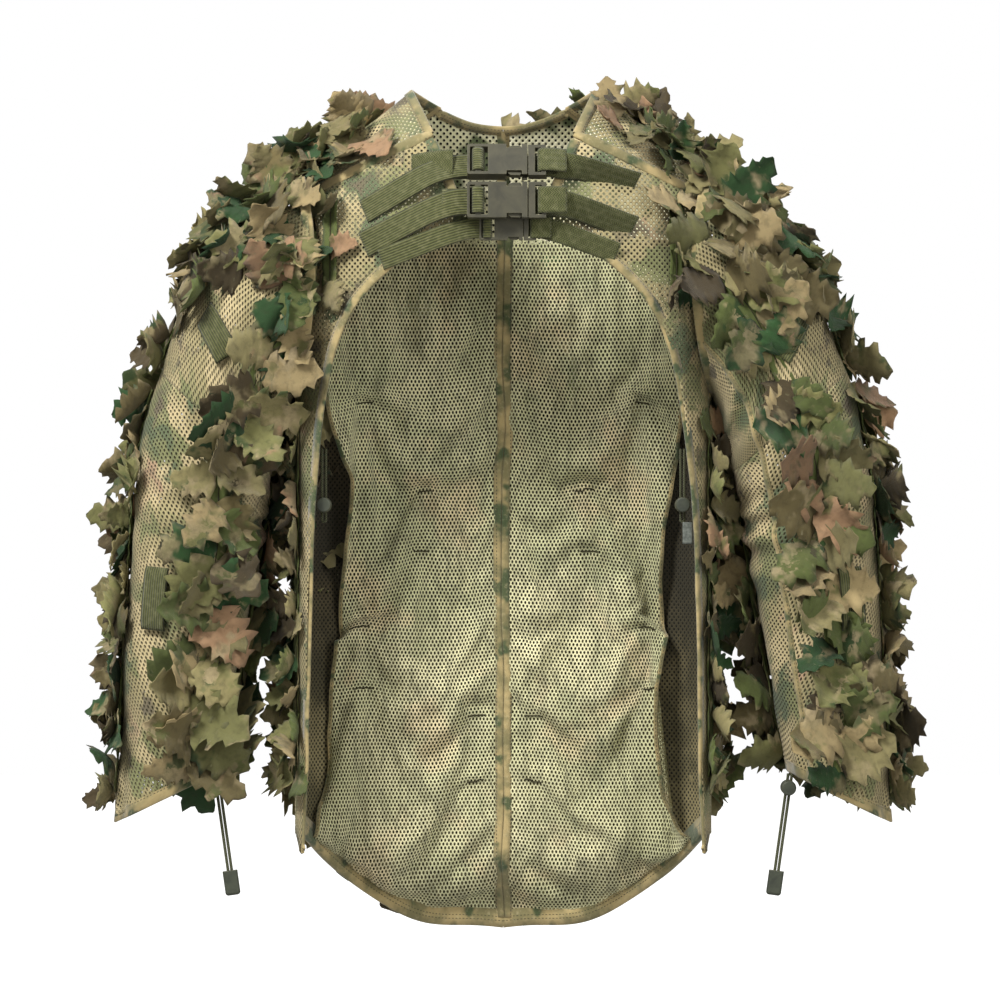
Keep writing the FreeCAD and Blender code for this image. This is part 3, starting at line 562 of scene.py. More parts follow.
def lining_net():
    """Khaki-green knitted net with staggered upright holes."""
    graph = Graph("lining_net")
    where = graph.uv()
    near = hole_distance(graph, where, 3.4, squash=0.68, stagger=True)
    color = graph.blend(graph.patches(where, 9, 0.35, 0.7), srgb(188, 189, 139), srgb(226, 219, 171))
    color = graph.tint(color, graph.patches(where, 13, 0.52, 0.66, shift=(9, 6)), 0.7, srgb(228, 203, 156))
    stain = graph.patches(where, 16, 0.52, 0.68, 4, 0.65, (4, 1))
    color = graph.tint(color, stain, 0.55, srgb(112, 126, 80))
    # Painted shade: dark streaks along the creases of the folds.
    for turn, shift, size in ((12, (1, 3, 0), 34), (-38, (6, 2, 0), 46), (64, (3, 8, 0), 40)):
        streak = graph.noise(graph.moved(where, shift=shift, scale=(1, 0.34, 1), turn=turn), size, 2, 0.5)
        crease = graph.step(graph.math("ABSOLUTE", graph.minus(streak, 0.5)), 0.035, 0.0)
        color = graph.tint(color, crease, 0.34, srgb(84, 88, 54))
    yarn = graph.noise(graph.moved(where, scale=(1, 0.4, 1)), 1400, 1, 0.5)
    color = graph.tint(color, yarn, 0.45, srgb(238, 230, 196))
    # Painted shade round the rims of the holes, where the yarn dips.
    rim = graph.step(near, 0.9, 1.45)
    color = graph.tint(color, graph.minus(1.0, rim), 0.5, srgb(92, 88, 56))
    return graph.finish(color, 0.8, graph.plus(rim, graph.times(yarn, 0.4)), 0.0005,
                        alpha=graph.step(near, 0.80, 1.04), sheen=0.1)


def pale_net_color(graph, where):
    color = graph.blend(graph.patches(where, 14, 0.4, 0.65), srgb(232, 228, 186), srgb(252, 248, 216))
    return graph.blend(graph.patches(where, 13, 0.58, 0.64, shift=(6.3, 2.0)), color, srgb(66, 88, 50))


def shaded_net_color(graph, where):
    """Painted shade inside the jacket: dark up high, and paler towards the hem, where light comes in."""
    broad = graph.patches(where, 14, 0.4, 0.65)
    dark = graph.blend(broad, srgb(28, 24, 14), srgb(60, 51, 33))
    pale = graph.blend(broad, srgb(88, 81, 54), srgb(136, 125, 89))
    return graph.blend(graph.step(graph.parts(where)[1], 0.34, 0.12), dark, pale)


LEAF_PAINTS = [     # the tone (0 to 1, one for each leaf) that each paint starts at
    (0.0, (142, 132, 88)), (0.24, (170, 150, 106)), (0.34, (124, 122, 74)), (0.48, (92, 102, 52)),
    (0.60, (44, 76, 36)), (0.75, (80, 68, 44)), (0.84, (110, 98, 62)), (0.94, (166, 132, 98)),
]


def leaf_cloth():
    """Printed leaf cloth: each leaf is cut from its own part of the print, creased, with a fine weave."""
    graph = Graph("leaf_cloth")
    where = graph.uv()
    tone = graph.node("ShaderNodeAttribute", attribute_name="tone").outputs["Fac"]
    ramp = graph.node("ShaderNodeValToRGB", {"Fac": tone})
    ramp.color_ramp.interpolation = "CONSTANT"
    for k, (start, paint) in enumerate(LEAF_PAINTS):
        stop = ramp.color_ramp.elements[k] if k < 2 else ramp.color_ramp.elements.new(start)
        stop.position, stop.color = start, (*srgb(*paint), 1.0)
    print_color = camouflage(graph, where, 1.5, ground=srgb(150, 137, 98), second=srgb(176, 158, 120))
    printed = graph.patches(where, 26, 0.50, 0.60, shift=(7.7, 1.3))
    color = graph.tint(ramp.outputs[0], printed, 0.8, print_color)
    own = graph.plus(0.62, graph.times(graph.math("FRACT", graph.times(tone, 37.7)), 0.46))
    color = graph.node("ShaderNodeHueSaturation", {"Hue": 0.5, "Saturation": 1.0, "Color": color,
                                                   "Value": own}).outputs[0]
    weave = graph.node("ShaderNodeTexWave", {"Vector": graph.moved(where, turn=35), "Scale": 520.0,
                                             "Distortion": 1.5}).outputs[1]
    crease = graph.noise(where, 110, 3, 0.65)
    # Painted shade: darker in the hollows of the creases.
    color = graph.tint(color, graph.step(crease, 0.55, 0.3), 0.3, srgb(50, 46, 28))
    back = graph.node("ShaderNodeNewGeometry").outputs["Backfacing"]
    color = graph.tint(color, back, 0.3, srgb(120, 116, 84))
    height = graph.plus(graph.times(weave, 0.2), crease)
    return graph.finish(color, 0.78, height, 0.0016, sheen=0.08, strength=0.8)


def camo_tape():
    """Folded binding tape: fine ribs across, a line of stitches along each side. u runs round the fold."""
    graph = Graph("camo_tape")
    where = graph.uv()
    u, v = graph.parts(where)
    pale = graph.patches(where, 30, 0.4, 0.62, shift=(2, 5))
    color = graph.blend(pale, srgb(120, 112, 74), srgb(172, 152, 104))
    color = graph.tint(color, graph.patches(where, 24, 0.52, 0.60), 0.9, srgb(54, 72, 40))
    dash = graph.step(graph.wave(v, 0.0034), -0.2, 0.1)
    off_line = graph.math("ABSOLUTE", graph.minus(graph.math("PINGPONG", u, 0.0085), 0.0018))
    stitch = graph.times(dash, graph.step(off_line, 0.0006, 0.0003))
    color = graph.tint(color, stitch, 0.8, srgb(58, 56, 34))
    color = graph.tint(color, graph.patches(where, 220, 0.5, 0.75, 3, 0.7), 0.35, srgb(190, 178, 138))
    height = graph.plus(graph.times(graph.wave(v, 0.0011), 0.2), graph.times(stitch, -1.0))
    return graph.finish(color, 0.8, height, 0.0004, sheen=0.25)


def band(name, base, light, across, along, rib_along):
    """Webbing or elastic: u runs across the strap from its middle and v along it."""
    graph = Graph(name)
    where = graph.uv()
    u, v = graph.parts(where)
    if rib_along:
        height = graph.plus(graph.wave(u, across), graph.times(graph.wave(v, along), 0.3))
    else:
        height = graph.wave(graph.plus(graph.math("ABSOLUTE", graph.math("PINGPONG", u, across)), v), along)
    # Painted light and shade on the weave: paler on the ribs' tops, darker in the hollows.
    color = graph.blend(graph.step(height, -1.0, 1.0), base, light)
    color = graph.tint(color, graph.patches(where, 160, 0.4, 0.75), 0.3, srgb(136, 134, 96))
    color = graph.tint(color, graph.step(graph.math("ABSOLUTE", u), 0.0105, 0.0125), 0.45, srgb(46, 46, 26))
    return graph.finish(color, 0.7, height, 0.00035, sheen=0.15, strength=0.8)


def thread(name, paint):
    graph = Graph(name)
    twist = graph.wave(graph.parts(graph.uv())[1], 0.0012)
    # Painted shade in the grooves of the twist.
    color = graph.blend(graph.step(twist, -1.0, 1.0), graph.blend(0.4, paint, (0, 0, 0)), paint)
    return graph.finish(color, 0.65, twist, 0.0002)


def braid():
    """Braided cord sleeve: two crossing rows of yarn."""
    graph = Graph("cord_braid")
    u, v = graph.parts(graph.uv())
    rows = [graph.wave(way, 0.0022) for way in (graph.plus(u, v), graph.minus(u, v))]
    height = graph.math("MAXIMUM", *rows)
    # Painted shade between the yarns, paler on their tops.
    color = graph.blend(graph.step(height, -0.2, 1.0), srgb(30, 31, 20), srgb(86, 88, 60))
    return graph.finish(color, 0.7, height, 0.0004, sheen=0.1)


def moulded(name, dark, light, rough=0.5):
    """Moulded plastic: fine spark texture, faint flow marks and a painted highlight along the edges."""
    graph = Graph(name)
    where = graph.node("ShaderNodeTexCoord").outputs["Object"]
    grain = graph.noise(where, 1800, 2, 0.6)
    color = graph.blend(graph.step(graph.noise(where, 60, 3, 0.6, 0.6), 0.3, 0.7), dark, light)
    bevel = graph.node("ShaderNodeBevel", {"Radius": 0.0011}, samples=4).outputs[0]
    plain = graph.node("ShaderNodeNewGeometry").outputs["Normal"]
    turn = graph.node("ShaderNodeVectorMath", {0: bevel, 1: plain}, operation="DOT_PRODUCT").outputs["Value"]
    # Painted highlight: paler where the bevel rounds off the edges.
    color = graph.tint(color, graph.step(turn, 0.99, 0.9), 0.55, srgb(122, 118, 92))
    bump = graph.node("ShaderNodeBump", {"Height": grain, "Distance": 0.00012, "Strength": 0.5,
                                         "Normal": bevel})
    material = graph.finish(color, graph.plus(rough, graph.times(grain, 0.12)))
    graph.link(bump.outputs[0], graph.shader.inputs["Normal"])
    graph.shader.inputs["Specular IOR Level"].default_value = 0.45
    return material


def wire():
    graph = Graph("spring_wire")
    grain = graph.noise(graph.node("ShaderNodeTexCoord").outputs["Object"], 3000, 2, 0.6)
    color = graph.blend(grain, srgb(120, 118, 112), srgb(180, 178, 172))
    graph.shader.inputs["Metallic"].default_value = 1.0
    return graph.finish(color, graph.plus(0.25, graph.times(grain, 0.2)), grain, 0.0001)


def tag_cloth():
    graph = Graph("tag_cloth")
    where = graph.uv()
    weave = graph.node("ShaderNodeTexChecker", {"Vector": where, "Scale": 2400.0}).outputs[1]
    color = graph.blend(graph.patches(where, 300, 0.3, 0.7, 2), srgb(78, 82, 76), srgb(108, 112, 104))
    return graph.finish(color, 0.75, weave, 0.0002, sheen=0.1)


MATERIALS = {
    "front_net": camo_net("camo_mesh_front", 45),
    "sleeve_net": camo_net("camo_mesh_sleeve", 12),
    "back_net": camo_net("camo_mesh_back", 45, open_holes=False),
    # The inside of the back panel carries painted shade.
    "inner_net": camo_net("camo_mesh_inner", 45, open_holes=False, inside=shaded_net_color, fuzz=0.05),
    "collar_net": camo_net("collar_net", 45, open_holes=False, radius=1.15, pitch=4.4, rim_shade=0.15,
                           inside=pale_net_color),
    "lining": lining_net(),
    "leaf": leaf_cloth(),
    "tape": camo_tape(),
    "web": band("olive_webbing", srgb(54, 57, 24), srgb(84, 87, 42), 0.0030, 0.0024, False),
    "elastic": band("ribbed_elastic", srgb(50, 53, 23), srgb(86, 88, 44), 0.0024, 0.0012, True),
    "thread": thread("dark_thread", srgb(62, 58, 38)),
    "braid": braid(),
    "buckle": moulded("buckle_plastic", srgb(50, 48, 34), srgb(67, 64, 46)),
    "lock": moulded("lock_plastic", srgb(44, 48, 38), srgb(64, 68, 54), 0.45),
    "wire": wire(),
    "tag": tag_cloth(),
}


# ---------------------------------------------------------------- cloth panels
CLOTH = 0.7     # thickness of the netting
WRINKLES = {"front": (3.4, 5, (1.0, 1.0, 0.6)), "back": (3.4, 9, (1.0, 1.0, 0.5)), "yoke": (2.2, 5)}


def wrinkled(grid, normals, amount, seed, stretch=(1.0, 1.0, 1.0)):
    """Soft creases across a sheet. The noise is set in space, so panels that meet still meet."""
    where = grid * np.array(stretch)
    ripple = sum(noise3(where, cell, seed + k) * share
                 for k, (cell, share) in enumerate(((70, 0.6), (32, 0.3), (14, 0.12))))
    by_seam = np.clip(np.abs(grid[..., 1]) / 20, 0.1, 1)
    ripple = ripple * mix(by_seam, 1, np.clip((grid[..., 2] - UNDERARM_Z) / 40, 0, 1))
    return grid + normals * (amount * ripple)[..., None]


def form_uv(grid):
    """Straight grain over the trunk: u is the way round the body from the middle, v is height."""
    xs = np.linspace(0, BODY_HALF_WIDTH, 200)
    x, y, z = grid[..., 0], grid[..., 1], grid[..., 2]
    front, back = (np.interp(np.abs(x), xs, run_length(np.stack([xs, form_depth(xs, 400.0, side)], axis=1)))
                   for side in (-1, 1))
    return metres(np.where(y < 0, front, back) * np.sign(x) + np.where(y < 0, 0, 700), z)


def build_trunk():
    collar_start = 652
    for name, side in SIDES.items():
        for part, poles, rows, cols, paints in (
                ("front", front_poles(), 170, 44, "front_net front_net"),
                ("back", back_poles(), 190, 60, "back_net inner_net collar_net")):
            grid = flip(spline_grid(poles, np.linspace(0, 1, rows), np.linspace(0, 1, cols)), side)
            normals = facing(grid, (0, 1, 0))
            grid = wrinkled(grid, normals, *WRINKLES[part])
            heights = (grid[1:, 1:, 2] + grid[:-1, :-1, 2]).ravel() / 2
            inner = np.where((heights > collar_start) & (part == "back"), 2, 1)
            batch = Batch()
            add_sheet(batch, grid, form_uv(grid), CLOTH, (0, inner), normals)
            batch.piece(f"{part}_panel_{name}_cloth", paints, "jacket", f"{part}_panel_{name}", "camo_mesh")

    batch = Batch()
    for side in SIDES.values():
        grid = flip(spline_grid(yoke_poles(), np.linspace(0, 1, 36), np.linspace(0, 1, 48)), side)
        normals = facing(grid, (0, 0, 1))
        grid = wrinkled(grid, normals, *WRINKLES["yoke"])
        add_sheet(batch, grid, arc_uv(grid) + 0.3 * side, CLOTH, (0, 1), normals)
    batch.piece("shoulder_yokes_cloth", "front_net collar_net", "jacket", "shoulder_yokes", "camo_mesh")


def ease(t):
    t = np.clip(t, 0, 1)
    return t * t * (3 - 2 * t)


def sleeve_share(part, s):
    """How far a sleeve's points follow its outer body, over the shoulder or over the elbow."""
    start, end = (0.0, HEAD_END) if part == "upper" else (ELBOW_START, ELBOW_END)
    return ease((np.asarray(s) - start) / (end - start))


def sleeve_joint(name, part):
    """The two bodies that a part of a sleeve bends between, and the line in metres that it bends along."""
    side = SIDES[name]
    if part == "upper":
        return ("jacket", f"upper_sleeve_{name}"), ((side * 0.190, 0, 0.600), (side * 0.245, 0, 0.545))
    return (f"upper_sleeve_{name}", f"forearm_{name}"), ((side * 0.282, 0, 0.440), (side * 0.290, 0, 0.340))


SPLIT = 3.2     # ring where a sleeve's shoulder piece ends and its elbow piece starts


def sleeve_folds(s, angle, side):
    """Creases: gathered at the armhole, slanting below the shoulder and bunched inside the elbow."""
    a = np.radians(angle)
    armhole = 1.6 * np.sin(a * 9 + side) * np.exp(-((s - 0.2) / 0.5) ** 2)
    upper = 2.6 * np.sin(s * 5.2 + 1.7 * np.cos(a) + side * 0.8) * np.exp(-((s - 2.6) / 1.2) ** 2)
    elbow = 3.4 * np.sin(s * 9.0 + 2.2 * np.sin(a + 0.5)) * np.exp(-((s - 5.2) / 0.9) ** 2)
    cuff = 2.0 * np.sin(a * 11 + 2 * np.sin(a * 3)) * ease((s - 8.3) / 0.7)
    return armhole + upper * (0.6 + 0.4 * np.sin(a * 2)) + elbow * (0.6 - 0.4 * np.cos(a)) + cuff


def build_sleeves():
    for name, side in SIDES.items():
        for part, s0, s1, rows, nodes in (
                ("upper", 0.03, SPLIT, 70, f"sleeve_head_{name} sleeve_upper_{name}"),
                ("lower", SPLIT, CUFF, 110, f"sleeve_elbow_{name} sleeve_forearm_{name}")):
            s = np.linspace(s0, s1, rows)[:, None]
            angle = np.linspace(-125, 235, 97)[None, :]
            turn = np.radians(angle)
            bumps = 2.6 * noise3(xyz(s * 40 + 400 * side, 60 * np.cos(turn), 60 * np.sin(turn)), 30, 3)
            off = sleeve_folds(s, angle, side)
            uv = arc_uv(sleeve_spot(s, angle)) + np.array([0.9 * side + 3.0, s0 * 0.2])
            uv[..., 0] -= uv[:, 16:17, 0]
            grid = flip(sleeve_spot(s, angle, off + bumps), side)
            normals = facing(grid, (side, 0, 0), closed=True)
            share = sleeve_share(part, s)
            batch = Batch()
            add_sheet(batch, grid, uv, CLOTH, normals=normals, weight=np.broadcast_to(share, grid.shape[:2]))
            seam = flip(sleeve_spot(s[:, 0], -125.0, off[:, 0] + bumps[:, 0] + 0.9), side)
            across = unit(np.cross(tangents(seam), normals[:, 0]))
            add_profile(batch, seam, across, normals[:, 0],
                        [(-3.2, -0.6), (-2.2, 0.7), (2.2, 0.7), (3.2, -0.6)], mat=1, weight=share[:, 0])
            bodies, line = sleeve_joint(name, part)
            batch.piece(f"sleeve_{part}_cloth_{name}", "sleeve_net tape", bodies, nodes, "camo_mesh", line)

        angle = np.linspace(-180, 180, 121)
        ring = sleeve_spot(CUFF, angle, sleeve_folds(CUFF, angle, side)) + np.array([-0.4, 0, -2.0])
        outward = flip(unit(sleeve_spot(CUFF, angle, 3.0) - sleeve_spot(CUFF, angle)), side)
        up = unit(flip(sleeve_spot(CUFF - 0.3, angle) - sleeve_spot(CUFF, angle), side))
        batch = Batch()
        add_profile(batch, flip(ring, side), up, outward,
                    [(9, 0.9), (-2.2, 1.4), (-3.4, 0), (-2.2, -1.4), (9, -0.9)])
        batch.piece(f"cuff_binding_tape_{name}", "tape", f"forearm_{name}", f"cuff_binding_{name}",
                    "camo_tape")


# ---------------------------------------------------------------- lining
# The stitches that tack the lining to the back panel, as (x, z).
TACKS = [(-131, 499), (132, 499), (-74, 416), (77, 416), (-78, 359), (82, 359), (-136, 287), (138, 287),
         (-132, 229), (141, 229), (-25, 202), (29, 202), (-27, 141), (30, 141)]
LINING_ROWS, LINING_COLS, LINING_THICK = 116, 34, 0.45


def lining_rest(rows, cols, side):
    """The lining's half as it is cut: x and z of a grid from the hem up and from the middle out."""
    v = np.linspace(0, 1, rows)[:, None]
    u = np.linspace(0, 1, cols)[None, :]
    x = mix(2.5, lining_edge(mix(80, 610, v)), u)
    z = mix(hem_z(x) + 9, 655 - 45 * (x / 170) ** 2, v)
    return x * side, z


def lining_way(x, z):
    """y the lining is laid at: free of the back panel, and sewn to it at the hem."""
    flat = form_depth(x, z, 1)
    slope = (form_depth(x + 1, z, 1) - form_depth(x - 1, z, 1)) / 2
    panel = wrinkled(xyz(x, flat, z), unit(xyz(-slope, 1.0, 0 * x)), *WRINKLES["back"])[..., 1]
    return mix(lining_y(x, z) - 6.0, panel - 1.8, ease((hem_z(x) + 75 - z) / 62))


def first_folds(x, z):
    """Upright and slanting folds that fade at the centre seam, the hem, the top and the tack stitches."""
    where = xyz(x, z * 0.32, np.zeros_like(z))
    fold = noise3(where, 30, 21) * 6.0 + noise3(where * np.array([1, 2.0, 1]), 15, 22) * 3.0
    slant = noise3(xyz(x + 0.5 * z, (z - 0.4 * x) * 0.5, 0 * z), 26, 23) * 3.2
    other = noise3(xyz(x - 0.6 * z, (z + 0.4 * x) * 0.5, 0 * z), 20, 24) * 2.4
    sharp = np.abs(noise3(xyz(x + 0.25 * z, (z - 0.2 * x) * 0.3, 0 * z + 40), 34, 25)) * -7.0
    fade = ease((np.abs(x) - 4) / 22) * ease((z - hem_z(x) - 6) / 30) * ease((670 - z) / 50)
    for tx, tz in TACKS:
        fade = fade * (1 - 0.8 * np.exp(-(((x - tx) / 14) ** 2 + ((z - tz) / 8) ** 2)))
    return (fold + slant + other + sharp) * fade


def hang(grid, held, frames=34):
    """Lets a sheet of points (mm) hang as cloth a little larger than its frame, held where it is sewn."""
    rows, cols = grid.shape[:2]
    mesh = bpy.data.meshes.new("hanging")
    mesh.from_pydata((grid.reshape(-1, 3) * MM).tolist(), [], grid_faces(rows, cols).tolist())
    obj = place("hanging", mesh)
    group = obj.vertex_groups.new(name="sewn")
    group.add(np.flatnonzero(held.ravel()).tolist(), 1.0, "REPLACE")
    cloth = obj.modifiers.new("cloth", "CLOTH")
    cloth.point_cache.frame_start, cloth.point_cache.frame_end = 1, frames
    settings = cloth.settings
    settings.quality = 6
    settings.mass = 0.12
    settings.tension_stiffness = settings.compression_stiffness = 18
    settings.shear_stiffness, settings.bending_stiffness = 4, 0.05
    settings.air_damping = 2.0
    settings.vertex_group_mass = "sewn"
    settings.shrink_min = -0.055
    scene = bpy.context.scene
    scene.frame_start, scene.frame_end = 1, frames
    for frame_number in range(1, frames + 1):
        scene.frame_set(frame_number)
    hung = obj.evaluated_get(bpy.context.evaluated_depsgraph_get()).to_mesh()
    co = np.zeros(rows * cols * 3, np.float32)
    hung.vertices.foreach_get("co", co)
    obj.evaluated_get(bpy.context.evaluated_depsgraph_get()).to_mesh_clear()
    bpy.data.objects.remove(obj)
    scene.frame_set(1)
    return co.reshape(rows, cols, 3).astype(float) / MM


def lining_sheet(side):
    """Half of the lining as it hangs (fine grid), with its UVs and its rest x and z."""
    x, z = lining_rest(LINING_ROWS, LINING_COLS, side)
    y = lining_way(x, z)
    folds = first_folds(x, z)
    grid = xyz(x, y + ((0.45 * folds)), z)
    held = np.zeros(grid.shape[:2], bool)
    held[0], held[-1], held[:, 0] = True, True, True
    for tx, tz in TACKS:
        if tx * side > 0:
            held |= np.hypot((x - tx) / 7.0, (z - tz) / 3.5) < 1.0
    grid = hang(grid, held)
    near = lining_way(grid[..., 0], grid[..., 2]) - 18.0
    far = form_depth(x, np.minimum(z, 640), 1) - 7.0
    grid[..., 1] = np.clip(grid[..., 1], near, np.maximum(np.maximum(far, near), y))
    grid[..., 1] += 0.62 * folds
    rest = xyz(x, y, z)
    us, vs = np.linspace(0, 1, 2 * LINING_ROWS), np.linspace(0, 1, 2 * LINING_COLS)
    fine, rest = spline_grid(grid, us, vs), spline_grid(rest, us, vs)
    return fine, form_uv(xyz(rest[..., 0], np.abs(rest[..., 1]), rest[..., 2])), rest


def build_lining():
    batch, stitches = Batch(), Batch()
    for side in SIDES.values():
        grid, uv, rest = lining_sheet(side)
        normals = facing(grid, (0, -1, 0))
        add_sheet(batch, grid, uv, LINING_THICK, normals=normals)
        line = grid[2:-6, -1]
        out = np.broadcast_to([side, 0, 0], line.shape)
        front = np.broadcast_to([0, -1.0, 0], line.shape)
        add_profile(batch, line, out, front,
                    [(-2.6, 0.8), (0.6, 0.9), (1.2, 0), (0.6, -0.9), (-2.6, -0.8)], mat=1)
        for k, (tx, tz) in enumerate(TACKS):
            if tx * side < 0:
                continue
            xs = np.linspace(-8, 8, 14)
            spots = []
            for dx, dz in zip(xs, xs * (0.14, -0.1, 0.03)[k % 3]):
                flat = np.hypot(rest[..., 0] - tx - dx, rest[..., 2] - tz - dz)
                row, col = np.unravel_index(np.argmin(flat), flat.shape)
                spots.append(grid[row, col] + normals[row, col] * 0.9)
            path = smooth_path(spots, 14)
            across, up = path_frames(path, (0, 0, 1.0))
            add_profile(stitches, path, across, up, circle(0.7, 6))
    batch.piece("lining_cloth", "lining tape", "jacket", "back_lining", "lining_mesh")
    stitches.piece("lining_tack_stitches", "thread", "jacket", "", "lining_mesh")

    batch = Batch()
    z = np.linspace(8, 655, 160)
    sway = noise3(xyz(0 * z, 0 * z, z), 60, 31) * 2.0
    for half in (-1, 1):
        cross = half * np.array([0.2, 2.2, 4.6, 7.6])[None, :] + sway[:, None]
        bulge = np.array([1.0, 1.5, 1.2, 0.2])[None, :] + 0.5 * noise3(
            xyz(cross * 3, 0 * cross, z[:, None] + 0 * cross), 9, 33)
        grid = xyz(cross, (lining_way(0 * z, z) - 0.8)[:, None] - bulge, z[:, None])
        normals = np.broadcast_to([0, -1.0, 0], grid.shape)
        add_sheet(batch, grid, metres(cross + 8, z[:, None]), 0.8, normals=normals)
    batch.piece("lining_tape_cloth", "tape", "jacket", "lining_centre_tape", "camo_tape")


# ---------------------------------------------------------------- bindings
def edge_tape(batch, path, inward, out, reach, half):
    """Tape folded round an edge: inward is the way onto the panel and out the panel's face."""
    add_profile(batch, path, inward, out,
                [(reach, 0.6), (reach, half), (-1.5, half + 0.25), (-2.4, 0), (-1.5, -half - 0.25),
                 (reach, -half), (reach, -0.6)])


def border_path(poles, border, start, end, count):
    """A panel's edge: its points, the ways in from them and its normals."""
    t = np.linspace(start, end, count)

    def spot(depth):
        u, v = {"first_column": (t, depth + 0 * t), "first_row": (depth + 0 * t, t),
                "last_row": (1 - depth + 0 * t, t)}[border]
        return np.einsum("ki,kj,ijc->kc", basis(len(poles), u), basis(len(poles[0]), v), poles)

    path = spot(0.0)
    way, inward = tangents(path), spot(0.02) - path
    inward = unit(inward - way * np.sum(inward * way, axis=1, keepdims=True))
    return path, inward, unit(np.cross(way, inward))


def build_bindings():
    batch = Batch()
    panels = {"front": front_poles(), "yoke": yoke_poles(), "back": back_poles()}
    for side in SIDES.values():
        for part, border, start, end, count, reach, half in (
                ("front", "first_column", 0.0, 0.995, 260, 7.0, 1.15),
                ("yoke", "first_row", 0.0, 1.0, 40, 7.0, 1.15),
                ("back", "first_row", 0.0, 0.985, 160, 15.0, 3.2),
                ("back", "last_row", 0.0, 0.215, 40, 7.0, 1.15),
                ("front", "first_row", 0.0, 1.0, 14, 7.0, 1.15)):
            edge = border_path(panels[part], border, start, end, count)
            path, inward, out = (flip(values, side) for values in edge)
            out = out * np.sign(np.sum(out * outward_guess(path), axis=1, keepdims=True))
            edge_tape(batch, wrinkled(path, out, *WRINKLES[part]), inward, out, reach, half)
    batch.piece("edge_binding_tape", "tape", "jacket", "edge_bindings", "camo_tape")


def build_seams():
    """Felled seams over the joins: yokes, armholes, sides and the middle of the back."""
    batch = Batch()
    for side in SIDES.values():
        u = np.linspace(0, 1, 60)
        for path, armhole, wrinkle in (
                (yoke_spot(u, np.full(60, -1.0)), False, 2.8),
                (yoke_spot(u, np.full(60, 0.995)), False, 2.8),
                (sleeve_spot(0.05, np.linspace(-178, 182, 100)), True, 0.8),
                (xyz(192.6, 0.0, np.linspace(96, 506, 120)), False, 2.4)):
            path = flip(path, side)
            middle = flip(np.array([[191.0, 0.0, 611.0]]), side)
            out = unit((path - middle) * np.array([0.2, 1.0, 1.0])) if armhole else outward_guess(path)
            way = tangents(path)
            across = unit(np.cross(way, out))
            out = unit(np.cross(across, way))
            add_profile(batch, wrinkled(path, out, wrinkle, 5), across, out,
                        [(-5, -1.2), (-5, 0.6), (-3.6, 1.3), (3.6, 1.3), (5, 0.6), (5, -1.2), (0, -1.6)])
    z = np.linspace(6, 755, 200)
    path = xyz(0.0, form_depth(0.0, z, 1), z)
    out = np.broadcast_to([0, 1.0, 0], path.shape)
    across = np.broadcast_to([1.0, 0, 0], path.shape)
    add_profile(batch, wrinkled(path, out, *WRINKLES["back"]), across, out,
                [(-6, -1.3), (-6, 0.7), (-4.6, 1.4), (4.6, 1.4), (6, 0.7), (6, -1.3), (0, -1.7)])
    batch.piece("felled_seams", "tape", "jacket", "", "camo_tape")


def outward_guess(points):
    """A rough outward direction of the jacket's trunk at points on it."""
    x, y, z = points[:, 0], points[:, 1], points[:, 2]
    return unit(xyz(x * 0.6, y * 1.2, np.where(z > 740, 60.0, 0.0)))


# ---------------------------------------------------------------- leaves
LOBES = np.array([
    [.30, .46, .70, .97, .84, .62, .78, 1.0, .90, .64, .72, .90, .60, .42, .50, .30, .05],
    [.34, .60, .92, .70, .68, .92, 1.0, .70, .68, .88, .98, .62, .46, .58, .46, .22, .05],
    [.28, .50, .60, .84, 1.0, .74, .56, .70, .94, 1.0, .66, .48, .60, .66, .40, .26, .06],
    [.40, .70, .98, .78, .74, .90, .66, .70, .88, .62, .50, .60, .42, .34, .36, .20, .04],
])
LEAF_ROWS, LEAF_COLS = 17, 5
LEAF_LIFT = (6, 36)         # degrees off the cloth where a leaf starts
LEAF_THICK = 0.4
LEAF_BEND_START = 140.0     # behind the back: leaf tips bend over from here
LEAF_BEND_END = 158.0       # and never reach past here


